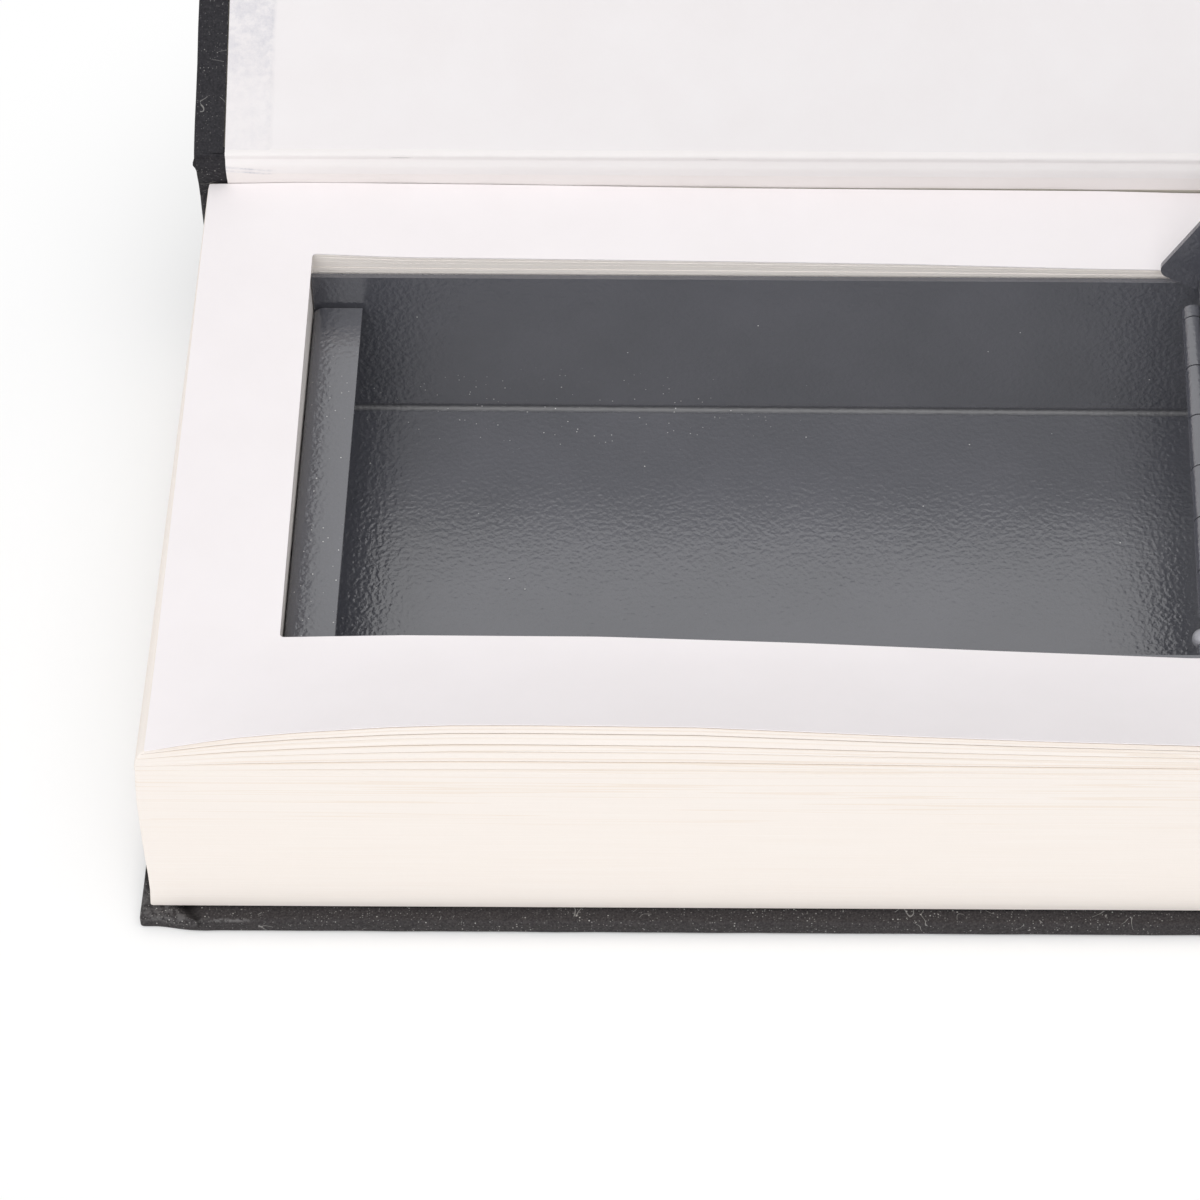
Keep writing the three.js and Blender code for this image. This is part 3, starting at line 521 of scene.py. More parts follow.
def rounded_loop(x, y, radius, inset=0.0, along_x=SIDE_X, along_y=SIDE_Y):
    """A rectangle's edge; the last two say at which shares of each side its points stand."""
    x, y = (x[0] + inset, x[1] - inset), (y[0] + inset, y[1] - inset)
    corners = [(x[1] - radius, y[0] + radius, -90), (x[1] - radius, y[1] - radius, 0),
               (x[0] + radius, y[1] - radius, 90), (x[0] + radius, y[0] + radius, 180)]
    points = []
    outwards = ((0, -radius), (radius, 0), (0, radius), (-radius, 0))
    for side, lift in enumerate(outwards):
        start, end = corners[side - 1], corners[side]
        shares = along_y if side % 2 else along_x
        for share in shares if side < 2 else [1 - s for s in reversed(shares)]:
            points.append((start[0] + (end[0] - start[0]) * share + lift[0],
                           start[1] + (end[1] - start[1]) * share + lift[1]))
        for step in range(1, CORNER_STEPS):
            angle = math.radians(end[2] + 90 * step / CORNER_STEPS)
            points.append((end[0] + radius * math.cos(angle), end[1] + radius * math.sin(angle)))
    return points


def between(first, second, share):
    """A loop between two others; share 0 gives the first and 1 the second."""
    rest = 1 - share
    return [(rest * a[0] + share * b[0], rest * a[1] + share * b[1]) for a, b in zip(first, second)]


# %% Skin the loops
def skin(name, loops, ring=False):
    count = len(loops[0])
    points = [Vector(p) * MM for loop in loops for p in loop]
    faces = []
    spans = range(len(loops)) if ring else range(len(loops) - 1)
    for span in spans:
        low, high = span * count, (span + 1) % len(loops) * count
        for step in range(count):
            following = (step + 1) % count
            faces.append((low + step, low + following, high + following, high + step))
    if not ring:
        faces.append(tuple(reversed(range(count))))
        faces.append(tuple(range((len(loops) - 1) * count, len(loops) * count)))
    mesh = bpy.data.meshes.new(name)
    mesh.from_pydata(points, [], faces)
    return mesh


def outward(mesh):
    """Turns all faces outwards."""
    shape = bmesh.new()
    shape.from_mesh(mesh)
    bmesh.ops.recalc_face_normals(shape, faces=shape.faces)
    shape.to_mesh(mesh)
    shape.free()


def shown(name, mesh, slot, smooth=30):
    """Puts a finished mesh in the scene, creased only where faces meet at more than so many degrees."""
    outward(mesh)
    mesh.materials.clear()
    mesh.materials.append(FINISH[slot])
    made = placed(name, mesh)
    mesh.shade_smooth()
    mesh.set_sharp_from_angle(angle=math.radians(smooth))
    print(f"{name}: {len(mesh.polygons)} faces")
    return made


def noted(mesh, key, values):
    mesh.attributes.new(key, "FLOAT", "POINT").data.foreach_set("value", values)


def noted_by(mesh, key, rule):
    noted(mesh, key, [rule(v.co / MM) for v in mesh.vertices])


def evaluated(made):
    """The mesh of an object as its modifiers leave it."""
    bpy.context.view_layer.update()
    return bpy.data.meshes.new_from_object(made.evaluated_get(bpy.context.evaluated_depsgraph_get()))


# %% [markdown]
# ## The text block
#
# The pages no longer lie flat. The book was kept open, so the sheets have fanned along the fore edge, up to
# eight millimetres in the middle, while near the hinge the lid has pressed them down. Four height curves
# along the book describe the top: at the fore edge, at both long sides of the cut-out and at the gutter.
# The height at any point is read between them. The fore edge also runs a little askew, further forward at
# its left end.

# %% Heights of the top sheet, millimetres
PAGE_X, PAGE_Y = (-113, 115), (-74.6, 73.4)
CUT_X, CUT_Y = (-91.3, 91.8), (-46.8, 53.8)
CUT_RADIUS, PAGE_RADIUS = 0.9, 0.5
PAGES_LOW, PAGES_HIGH, CUT_FLOOR, FAN_LOW = 3.7, 50.0, 5.0, 45.0
FORE_EDGE = ((-113, 51.3), (-110, 52.0), (-102, 53.7), (-95, 55.0), (-84, 56.3), (-68, 57.7), (-56, 58.3),
             (-41, 58.4), (-10, 58.0), (27, 56.0), (55, 54.7), (80, 53.9), (115, 52.5))
CUT_FRONT = ((-113, 50.0), (-90, 50.0), (-67, 50.9), (-29, 51.0), (8, 49.7), (46, 47.8), (82, 46.2),
             (115, 46.6))
CUT_BACK = ((-113, 50.2), (-90, 50.2), (-73, 49.4), (-12, 48.8), (28, 48.3), (68, 47.2), (92, 46.9),
            (115, 47.4))
GUTTER = ((-113, 50.2), (-94, 50.8), (-53, 50.5), (-12, 49.9), (28, 49.7), (68, 49.6), (87, 49.1),
          (115, 48.9))
DRAWN_MIDDLE, DRAWN_SLOPE, PULL = -0.385, 0.00744, 0.13


def along(curve, x):
    return float(np.interp(x, [p[0] for p in curve], [p[1] for p in curve]))


def eased(share):
    share = min(max(share, 0.0), 1.0)
    return share * share * (3 - 2 * share)


def foreness(y):
    """Zero at the cut-out and one at the fore edge."""
    return min(max((CUT_Y[0] - y) / (CUT_Y[0] - PAGE_Y[0]), 0.0), 1.0)


def drawn(x, y):
    """How far the askew fore edge moves a point along Y."""
    return (DRAWN_MIDDLE + DRAWN_SLOPE * x) * foreness(y)


def pulled_back(x, y):
    """How far a point of the raised top sheet moves back, as its paper curves upwards."""
    return (along(FORE_EDGE, x) - PAGES_HIGH) * PULL * foreness(y)


def page_top(x, y):
    """Height of the top sheet at any point, read between the four curves."""
    front, back = along(CUT_FRONT, x), along(CUT_BACK, x)
    if y < CUT_Y[0]:
        return front + (along(FORE_EDGE, x) - front) * foreness(y) ** 1.5
    if y < CUT_Y[1]:
        return front + (back - front) * eased((y - CUT_Y[0]) / (CUT_Y[1] - CUT_Y[0]))
    return back + (along(GUTTER, x) - back) * (y - CUT_Y[1]) / (PAGE_Y[1] - CUT_Y[1])


print("top at the middle of the fore edge:", round(page_top(-10, PAGE_Y[0]), 1), "mm")

# %% [markdown]
# The stack is also skewed: lower sheets stand further left, most at the fore edge. Below the fan the block
# is one solid with a blind opening for the tray. Its loops run from the middle of the opening's floor up
# its wall, across the top, down the outside and in again underneath.

# %% The lower pages
LEAN = ((3.7, 3.1), (8, 2.8), (13, 2.75), (20, 2.9), (27, 2.9), (35, 2.85), (41, 2.6), (45, 2.3))
LEAN_AT_GUTTER, LEAN_RIGHT = 0.25, 2.6
PAGE_LEVELS = (FAN_LOW, 41, 35, 29, 23, 17, 13, 8, PAGES_LOW + 0.2)


def leaned(x, y, z):
    """Where the skew of the stack puts a point along X, which leaves the cut-out square."""
    share = LEAN_AT_GUTTER + (1 - LEAN_AT_GUTTER) * (PAGE_Y[1] - y) / (PAGE_Y[1] - PAGE_Y[0])
    if x < CUT_X[0]:
        return x - along(LEAN, z) * share * (CUT_X[0] - x) / (CUT_X[0] - PAGE_X[0])
    if x > CUT_X[1]:
        depth = (PAGES_HIGH - z) / (PAGES_HIGH - PAGES_LOW)
        return x - LEAN_RIGHT * depth * (x - CUT_X[1]) / (PAGE_X[1] - CUT_X[1])
    return x


def page_rims(inset=0.0):
    """The outer edge of a page and the edge of its cut-out."""
    outer = rounded_loop(PAGE_X, PAGE_Y, PAGE_RADIUS, inset)
    return outer, rounded_loop(CUT_X, CUT_Y, CUT_RADIUS)


def page_loop(z, share=0, inset=0.0):
    flat = between(*page_rims(inset), share)
    return [(leaned(x, y, z), y + drawn(x, y), z) for x, y in flat]


def centre_loop(z, half_x=30, half_y=10):
    middle_x, middle_y = sum(CUT_X) / 2, sum(CUT_Y) / 2
    x, y = (middle_x - half_x, middle_x + half_x), (middle_y - half_y, middle_y + half_y)
    return [(*spot, z) for spot in rounded_loop(x, y, CUT_RADIUS)]


block_loops = [centre_loop(CUT_FLOOR)] + [page_loop(z, share=1) for z in (CUT_FLOOR, 25, FAN_LOW)]
block_loops += [page_loop(z) for z in PAGE_LEVELS]
block_loops += [page_loop(PAGES_LOW, inset=0.2), centre_loop(PAGES_LOW)]
block_mesh = skin("lower_pages", block_loops)
lower_pages = shown("lower_pages", block_mesh, "pages")
noted_by(block_mesh, "layer", lambda p: p.z)
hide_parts("bottom_pages",
            "page_section_1", "page_section_2", "page_section_3", "page_section_4")
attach(lower_pages, "book")

# %% [markdown]
# ### The fanned gatherings
#
# Above the solid lies a stack of gatherings, each a ring of paper one to two millimetres thick, that part
# from each other along the fore edge. The lower a gathering lies, the further from the left end it opens.
# They all repeat one leaf, so a Geometry Nodes tree makes them. The leaf carries what the tree needs as
# attributes: how far the stack rises at each point, how far its fore edge is pulled back, how far it is
# skewed, how much it may wave, the distance from its left end, and whether a point is on the leaf's upper
# face. A second object has one point for each gathering, which says between which shares of the rise it
# lies. The tree sets a copy of the leaf on each point.

# %% One leaf, flat, with its attributes
LEAF_RINGS, SHEET_THICK = 6, 0.25
PARTINGS = (0.0, 0.11, 0.28, 0.35, 0.49, 0.63, 0.77, 0.85, 0.94, 1.0)
GATHERINGS = list(zip(PARTINGS, PARTINGS[1:]))


def leaf_mesh():
    flat = [between(*page_rims(), ring / LEAF_RINGS) for ring in range(LEAF_RINGS + 1)]
    loops = [[(x, y + drawn(x, y), FAN_LOW) for x, y in loop] for loop in flat]
    mesh = skin("leaf", loops + loops[::-1], ring=True)
    noted_by(mesh, "lift", lambda p: page_top(p.x, p.y) - SHEET_THICK - FAN_LOW)
    noted_by(mesh, "pull", lambda p: pulled_back(p.x, p.y))
    noted_by(mesh, "skew", lambda p: p.x - leaned(p.x, p.y, FAN_LOW))
    noted_by(mesh, "wave", lambda p: 0.15 + 0.85 * foreness(p.y) ** 2)
    noted_by(mesh, "from_left", lambda p: p.x - PAGE_X[0])
    half_count = len(mesh.vertices) // 2
    noted(mesh, "upper", [1.0] * half_count + [0.0] * half_count)
    return mesh


def gathering_points():
    mesh = bpy.data.meshes.new("gatherings")
    mesh.from_pydata([(0, 0, 0)] * len(GATHERINGS), [], [])
    for key, shares in zip(("from_share", "to_share"), zip(*GATHERINGS)):
        noted(mesh, key, shares)
    return mesh


leaf = bpy.data.objects.new("leaf", leaf_mesh())
gatherings = bpy.data.objects.new("gatherings", gathering_points())
print("a leaf has", len(leaf.data.vertices), "points;", len(GATHERINGS), "gatherings")

# %% A Geometry Nodes tree
class GeometryTree(Tree):
    def __init__(self, name, inputs):
        super().__init__(bpy.data.node_groups.new(name, "GeometryNodeTree"))
        for label, kind in {"Geometry": "Geometry", **inputs}.items():
            self.tree.interface.new_socket(label, in_out="INPUT", socket_type=f"NodeSocket{kind}")
        self.tree.interface.new_socket("Geometry", in_out="OUTPUT", socket_type="NodeSocketGeometry")
        self.given = self.tree.nodes.new("NodeGroupInput").outputs
        self.exit = self.tree.nodes.new("NodeGroupOutput")

    def named(self, name):
        return self.add("GeometryNodeInputNamedAttribute", {"Name": name}, data_type="FLOAT").outputs[0]

    def store(self, geometry, name, value):
        links = {"Geometry": geometry, "Name": name, "Value": value}
        stored = self.add("GeometryNodeStoreNamedAttribute", links, data_type="FLOAT", domain="POINT")
        return stored.outputs[0]

    def finish(self, geometry):
        self.tree.links.new(geometry, self.exit.inputs["Geometry"])
        return self.tree


def grown(base, group, name, **values):
    bpy.context.scene.collection.objects.link(base)
    modifier = base.modifiers.new("grow", "NODES")
    modifier.node_group = group
    keys = {item.name: item.identifier for item in group.interface.items_tree if item.in_out == "INPUT"}
    for label, value in values.items():
        modifier[keys[label.replace("_", " ")]] = value
    mesh = evaluated(base)
    mesh.name = name
    bpy.data.objects.remove(base)
    return mesh


# %% [markdown]
# In the tree, share is how high a point lies in the stack, from zero at its foot to one at its top. A
# gathering's upper face stays a gap below the next one's foot, but only where the stack has opened. Noise
# makes the leaves swell a little, each in its own way, and each gathering is set down up to a twentieth of
# a millimetre off its place.

# %% The tree that stacks the gatherings
FAN_INPUTS = {"Gatherings": "Object", "Spread": "Float", "Gap": "Float", "Ripple": "Float",
              "Closed Reach": "Float", "Seed": "Int", "Paper": "Material"}
OPENING_LENGTH, LAYERS_IN_FAN, WAVES_PER_METRE = 3.0, 9.0, 9.0


def fan_tree():
    tree = GeometryTree("fanned_gatherings", FAN_INPUTS)
    given, named, times, minus = tree.given, tree.named, tree.times, tree.minus
    spots = tree.add("GeometryNodeObjectInfo", {"Object": given["Gatherings"]}).outputs["Geometry"]
    numbered = tree.store(spots, "number", tree.add("GeometryNodeInputIndex").outputs[0])
    copies = tree.add("GeometryNodeInstanceOnPoints", {"Points": numbered, "Instance": given["Geometry"]})
    stack = tree.add("GeometryNodeRealizeInstances", {"Geometry": copies.outputs[0]}).outputs[0]
    number, low, high, upper = (named(key) for key in ("number", "from_share", "to_share", "upper"))
    filled = times(upper, minus(high, low))
    reach = tree.math("MULTIPLY_ADD", minus(1.0, high), given["Closed Reach"], OPENING_LENGTH)
    opened = tree.step(named("from_left"), 0.0, reach, interpolation_type="SMOOTHSTEP")
    share = tree.plus(low, minus(filled, times(upper, given["Gap"], opened)))
    position = tree.add("GeometryNodeInputPosition").outputs[0]
    along_x = tree.add("ShaderNodeSeparateXYZ", {0: position}).outputs[0]
    rows = {0: times(along_x, WAVES_PER_METRE), 1: times(number, 0.9), 2: given["Seed"]}
    spot = tree.add("ShaderNodeCombineXYZ", rows).outputs[0]
    wave = tree.add("ShaderNodeTexNoise", {"Vector": spot, "Scale": 1.0, "Detail": 1.0}).outputs[0]
    swell = times(minus(wave, 0.5), given["Ripple"])
    swell = times(swell, times(named("wave"), share, minus(1.0, share)))
    rise = tree.plus(times(named("lift"), share, MM), swell)
    spread = [tree.add("FunctionNodeRandomValue", {"ID": number, "Seed": offset, "Min": -1.0, "Max": 1.0},
                       data_type="FLOAT").outputs[1] for offset in (11, 12)]
    loose = [times(side, given["Spread"]) for side in spread]
    lean = times(times(named("skew"), MM), minus(tree.math("POWER", share, 3.0), 1.0))
    pull = times(times(named("pull"), MM), tree.math("POWER", share, 2.0))
    sides = {0: tree.plus(lean, loose[0]), 1: tree.plus(pull, loose[1]), 2: rise}
    offset = tree.add("ShaderNodeCombineXYZ", sides).outputs[0]
    moved = tree.add("GeometryNodeSetPosition", {"Geometry": stack, "Offset": offset}).outputs[0]
    below = times(named("lift"), minus(minus(high, low), filled))
    moved = tree.store(moved, "layer", tree.math("MULTIPLY_ADD", share, LAYERS_IN_FAN, FAN_LOW))
    moved = tree.store(moved, "depth", tree.plus(below, 0.01))
    moved = tree.store(moved, "opened", opened)
    papered = tree.add("GeometryNodeSetMaterial", {"Geometry": moved, "Material": given["Paper"]})
    return tree.finish(papered.outputs[0])


leaves_mesh = grown(leaf, fan_tree(), "fanned_pages", Gatherings=gatherings, Spread=0.00005, Gap=0.008,
                    Ripple=0.0016, Closed_Reach=30.0, Seed=4, Paper=FINISH["pages"])
bpy.data.objects.remove(gatherings)
fanned_pages = shown("fanned_pages", leaves_mesh, "pages", smooth=40)
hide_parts("page_section_5")
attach(fanned_pages, "book")

# %% [markdown]
# ### The top sheet
#
# The free endpaper lies on the fan. It is the same ring, finer, and about a fifth of a millimetre thick.
# Shutting the cover presses the fan flat; here each of the two pieces gets a mesh of its own.

# %% Top sheet
SHEET_RINGS, SHEET_FOOT = 12, -0.22
SHEET_CUT_X, SHEET_ASKEW = (-90.5, 91.8), 0.64
sheet_outer = rounded_loop(PAGE_X, PAGE_Y, 0.4)
sheet_inner = rounded_loop(SHEET_CUT_X, CUT_Y, 0.8)


def askew(x, y):
    """How far the hand-cut left side of the sheet's window runs off its line, most at the front."""
    return SHEET_ASKEW * (CUT_X[1] - x) / (CUT_X[1] - CUT_X[0]) * (CUT_Y[1] - y) / (CUT_Y[1] - CUT_Y[0])


def sheet_loop(share, lift):
    flat = between(sheet_outer, [(x + askew(x, y), y) for x, y in sheet_inner], share)
    return [(x, y + drawn(x, y) + pulled_back(x, y), page_top(x, y) + lift) for x, y in flat]


rings = [i / SHEET_RINGS for i in range(SHEET_RINGS + 1)]
top_loops = [sheet_loop(s, 0.0) for s in rings] + [sheet_loop(s, SHEET_FOOT) for s in reversed(rings)]
top_sheet = shown("top_sheet_paper", skin("top_sheet_paper", top_loops, ring=True), "endpaper")
# The top sheet takes the brightest copy of the endpaper: painted light.
top_sheet.data.materials[0] = LIT_TOP_SHEET_PAPER
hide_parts("top_sheet")
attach(top_sheet, "book")
for pressed in (fanned_pages, top_sheet):
    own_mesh(pressed)

# %% [markdown]
# ## Covers
#
# A cover is a board wrapped in cloth. The cloth runs over the outer face, turns round three edges and is
# glued down on the inside as a border six millimetres wide. Within the border the board shows until the
# pastedown hides it. At the two corners away from the spine the cloth is folded, which leaves a small thick
# pleat. As loops, this is one closed shell: from the middle of the outer face, round the edge, in to the
# end of the border and back inside. The board in it is made again too, because its corners are rubbed back
# as far as the cloth's.

# %% Sizes of the case
CASE_X, CASE_Y, CASE_INSIDE = (-118.0, 118.0), (-78.0, 78.0), 3.4
CLOTH, GLUED_CLOTH, BORDER, BOARD_BACK = 0.3, 0.55, 6.1, 68.5
ROUND_EDGE, FORE_SQUARE, COVER_SHIFT = 0.75, 3.4, 2.4
BOARD_INSET, BOARD_LEVELS, BOARD_EDGE, BOARD_MIDDLE = 0.6, (0.6, 2.8), 0.4, 40
BORDER_SHARES = (0.1, 0.22, 0.34, 0.46, 0.58, 0.7, 0.85, 1.0)
DENSE_ENDS, DENSE_SIDES = (26, 0.5, 24), (12, 0.8, 16)
COVER_X = (CASE_X[0] + COVER_SHIFT, CASE_X[1] + COVER_SHIFT)
SPINE_CREASE = Vector((0, 75.4, 51.05))
BOARD_CREASE = Vector((0, 68.8, 51.05))
SPINE_TURN, BOARD_TURN = math.radians(-73), math.radians(-79)


def swing(point, axis, angle):
    """A turn about an axis that runs through a point."""
    place = Matrix.Translation(point * MM)
    return place @ Matrix.Rotation(angle, 4, axis) @ place.inverted()


JOINT_PLACE = swing(SPINE_CREASE, "X", SPINE_TURN)
COVER_PLACE = JOINT_PLACE @ swing(BOARD_CREASE, "X", BOARD_TURN)
print("board crease at rest:", [round(v / MM, 2) for v in JOINT_PLACE @ (BOARD_CREASE * MM)])


# %% The wrapped shell
def crowded(length, reach, step, middle):
    """Shares along a side: short steps as far as reach from both ends, and wider ones in the middle."""
    near = [i * step / length for i in range(int(reach / step) + 1)]
    far = [1 - s for s in reversed(near)]
    return near + [near[-1] + (far[0] - near[-1]) * i / middle for i in range(1, middle)] + far


def wrapped_board(name, x, y, thickness, wear):
    sides = crowded(x[1] - x[0], *DENSE_ENDS), crowded(y[1] - y[0], *DENSE_SIDES)
    edge, under = ROUND_EDGE, thickness - GLUED_CLOTH
    arc = [math.radians(a) for a in (0, 22, 45, 68, 90)]
    outer = [(edge - edge * math.sin(a), edge - edge * math.cos(a)) for a in arc]
    inner = [(edge - edge * math.cos(a), thickness - edge + edge * math.sin(a)) for a in arc]
    deep = 0.45 * min(x[1] - x[0], y[1] - y[0])

    def at_inset(inset):
        return rounded_loop(x, y, 0.5, inset, *sides)

    def pulled(loop, level):
        return worn_loop(loop, level, x, y, thickness, wear)

    outside = [(deep, 0), (deep / 3, 0), (4, 0), (1.6, 0)] + outer + inner
    inside = [(CLOTH + 0.6, under), (CLOTH, under - 0.3), (CLOTH, CLOTH + 0.3),
              (CLOTH + 0.6, CLOTH), (deep, CLOTH)]
    window = rounded_loop((x[0] + BORDER, x[1] - BORDER), (y[0] + BORDER, y[1] - 0.4), 0.5, 0, *sides)
    loops = [pulled(at_inset(inset), level) for inset, level in outside]
    for share in BORDER_SHARES:
        loops.append(pulled(between(at_inset(edge), window, share), thickness))
    loops.append([(*spot, under) for spot in window])
    loops += [pulled(at_inset(inset), level) for inset, level in inside]
    return skin(name, loops)


def blunted_board(name, x, y, thickness, wear):
    """The grey board inside the shell, with its corners rubbed back like the cloth's."""
    low, high = BOARD_LEVELS
    flat = BOARD_INSET + BOARD_EDGE
    loops = []
    for inset, level in ((BOARD_MIDDLE, low), (flat, low), (BOARD_INSET, low + BOARD_EDGE),
                         (BOARD_INSET, high - BOARD_EDGE), (flat, high), (BOARD_MIDDLE, high)):
        rim = rounded_loop(x, y, 0.4, inset)
        loops.append(worn_loop(rim, level, x, y, thickness, wear))
    return skin(name, loops)


# %% Wear and the folded corners
NEAR_FORE, NEAR_END, CORNER_START, CORNER_LENGTH = 5, 2.5, 2.5, 7.5
SET_BACK, SWELL, RIPPLE, END_RIPPLE, FOLD_LIFT, TUCK_SINK = 0.95, 0.16, 0.06, 0.05, 0.22, 0.42
SWELL_AT, SWELL_WIDTH, FOLD_RISE = 12.0, 2.5, 6
FOLD_REACH, FOLD_SLANT, TUCK_REACH, TUCK_SLANT = 7.03, 1.155, 10.9, 0.27


def hill(value, middle, width):
    return math.exp(-((value - middle) / width) ** 2)


def fold_line(from_fore):
    """How far from the end of the board the folded cloth of its corner reaches."""
    return FOLD_REACH + FOLD_SLANT * (FORE_SQUARE - from_fore)


def tuck_end(from_fore):
    """How far from the end of the board the tuck beside the fold reaches."""
    return TUCK_REACH + TUCK_SLANT * (FORE_SQUARE - from_fore)


def worn(point, x, y, thickness, wear):
    """Blunts the fore corners, lifts the folded cloth there and opens the tuck beside it."""
    left = point.x < (x[0] + x[1]) / 2
    from_end = point.x - x[0] if left else x[1] - point.x
    from_fore = point.y - y[0]
    on_fore = max(0.0, 1 - from_fore / NEAR_FORE)
    on_end = max(0.0, 1 - from_end / NEAR_END)
    set_back = SET_BACK * (1 - eased((from_end - CORNER_START) / CORNER_LENGTH))
    swell = SWELL * hill(from_end, SWELL_AT, SWELL_WIDTH)
    ripple = RIPPLE * math.sin(point.x * 0.31 + point.z * 2.0) * math.sin(point.x * 0.083 + 1.3)
    moved = Vector(point)
    moved.y += (wear * (set_back - swell) + ripple) * on_fore
    moved.x += END_RIPPLE * math.sin(point.y * 0.27 + 0.5) * on_end
    if point.z > thickness - CLOTH:
        fold, open_end = fold_line(from_fore), tuck_end(from_fore)
        height = (point.z - thickness + CLOTH) / CLOTH
        if from_end < fold:
            moved.z += wear * FOLD_LIFT * eased(1 - (fold - from_end) / FOLD_RISE) * height
        elif from_end < open_end:
            hollow = math.sin(math.pi * (from_end - fold) / (open_end - fold)) ** 0.6
            moved.z -= wear * TUCK_SINK * hollow * height
    return moved


def worn_loop(loop, level, x, y, thickness, wear):
    return [worn(Vector((*spot, level)), x, y, thickness, wear) for spot in loop]


# %% Back cover
def from_corner(p):
    return p.x - CASE_X[0], p.y - drawn(p.x, p.y) - CASE_Y[0]


def rubbed_edge(p):
    """How worn the back cover is: half all over, and more on its rubbed edge and on the fold."""
    from_end, from_fore = from_corner(p)
    along_edge = eased((from_end - 10) / 2) * (1 - eased((from_end - 18) / 8))
    on_edge = hill(from_fore, 0.35, 0.4) * eased((p.z - 2.2) / 1.0)
    folded = 0.3 * (from_end < fold_line(from_fore)) * (p.z > 2.5)
    return 0.5 + 0.42 * along_edge * on_edge + folded


def in_tuck(p):
    """How much painted shade the tuck gives a point."""
    from_end, from_fore = from_corner(p)
    start, end = fold_line(from_fore), tuck_end(from_fore)
    return (p.z > 1.6) * hill(from_end, (start + end) / 2, (end - start) / 2)


BOARD_Y, BACK_WEAR, FRONT_WEAR = (CASE_Y[0], BOARD_BACK), 1.0, 0.6
back_mesh = wrapped_board("back_cover_cloth", CASE_X, BOARD_Y, CASE_INSIDE, BACK_WEAR)
back_board_mesh = blunted_board("back_board_blunted", CASE_X, BOARD_Y, CASE_INSIDE, BACK_WEAR)
for mesh in (back_mesh, back_board_mesh):
    for vertex in mesh.vertices:
        vertex.co.y += drawn(vertex.co.x / MM, vertex.co.y / MM) * MM
noted_by(back_mesh, "worn", rubbed_edge)
noted_by(back_mesh, "tucked", in_tuck)
back_cover = shown("back_cover_cloth", back_mesh, "cover_cloth", smooth=50)
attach(back_cover, "book")
back_board = shown("back_board_blunted", back_board_mesh, "board", smooth=50)
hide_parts("back_board")
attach(back_board, "book")

# %% Front cover, made shut and then swung open
COVER_TOP = 53.7
front_mesh = wrapped_board("front_cover_cloth", COVER_X, BOARD_Y, CASE_INSIDE, FRONT_WEAR)
# The inside gets little wear, and with it the darker black: painted shade on cloth that faces the lamps.
noted_by(front_mesh, "worn", lambda p: 0.5 if p.z < 1.0 else 0.15)
front_board_mesh = blunted_board("front_board_blunted", COVER_X, BOARD_Y, CASE_INSIDE, FRONT_WEAR)
for mesh in (front_mesh, front_board_mesh):
    for vertex in mesh.vertices:
        vertex.co.z = COVER_TOP * MM - vertex.co.z
    mesh.transform(COVER_PLACE)
front_cover = shown("front_cover_cloth", front_mesh, "cover_cloth", smooth=50)
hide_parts("front_cloth")
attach(front_cover, "front_cover")
front_board = shown("front_board_blunted", front_board_mesh, "board", smooth=50)
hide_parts("front_board")
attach(front_board, "front_cover")

# %% [markdown]
# ### The pastedown of the front cover
#
# The sheet glued over the inside of the front cover shows what lies under it: along three edges the
# turned-in cloth raises it by a hair, and at the left the glue has darkened it. A grid of points with a
# height for each makes the sheet, and the attribute glued tells the paper where the stain is. It fades
# towards the spine.

# %% A sheet with a relief
def relief_sheet(name, xs, ys, height, thickness):
    upper = [(x, y, height(x, y)) for x in xs for y in ys]
    lower = [(x, y, z + thickness) for x, y, z in upper]
    rows, count = len(ys), len(upper)
    faces = []
    for column in range(len(xs) - 1):
        for row in range(rows - 1):
            a = column * rows + row
            quad = (a, a + rows, a + rows + 1, a + 1)
            faces += [quad, tuple(count + i for i in reversed(quad))]
    rim = [c * rows for c in range(len(xs))] + [(len(xs) - 1) * rows + r for r in range(1, rows)]
    rim += [c * rows + rows - 1 for c in range(len(xs) - 2, -1, -1)] + list(range(rows - 2, 0, -1))
    for here, there in zip(rim, rim[1:] + rim[:1]):
        faces.append((there, here, count + here, count + there))
    mesh = bpy.data.meshes.new(name)
    mesh.from_pydata([Vector(p) * MM for p in upper + lower], [], faces)
    return mesh


# %% Front pastedown
PASTE_X = (COVER_X[0] + BORDER + 0.3, COVER_X[1] - BORDER - 0.3)
PASTE_Y, PASTE_FACE, PASTE_THICK = (-71.6, 68.2), 50.34, 0.14
TURN_IN, TURN_IN_RISE, STAIN_LEVEL = 9.2, 0.12, 0.95
STAIN_FADES = ((30, 8, 0.35), (42, 16, 0.7))
NEAR_RIM = (0, 1.5, 3, 4.5, 6, 7.5, 8.4, 8.8, 9.1, 9.4, 9.8, 10.6, 12)


def over_turn_in(x, y):
    """One where the turned-in cloth lies under the sheet, and zero where the bare board does."""
    nearest = min(x - PASTE_X[0], PASTE_X[1] - x, y - PASTE_Y[0])
    return 1 - eased((nearest - TURN_IN + 0.4) / 0.8)


def paste_height(x, y):
    blister = 0.02 * math.sin(x * 0.11) * math.sin(y * 0.07 + 1)
    return PASTE_FACE + TURN_IN_RISE * (1 - over_turn_in(x, y)) + blister


def stained(p):
    """How dark the glue has made a spot; each fade has its start, its length and the share it takes away."""
    from_strip = p.x - PASTE_X[0] - TURN_IN + 0.5
    strip_and_edge = 1 - eased(from_strip) + 0.35 * hill(from_strip, 0, 0.8)
    left_over = 1.0
    for start, length, share in STAIN_FADES:
        left_over *= 1 - share * eased((p.y - start) / length)
    return strip_and_edge * STAIN_LEVEL * left_over


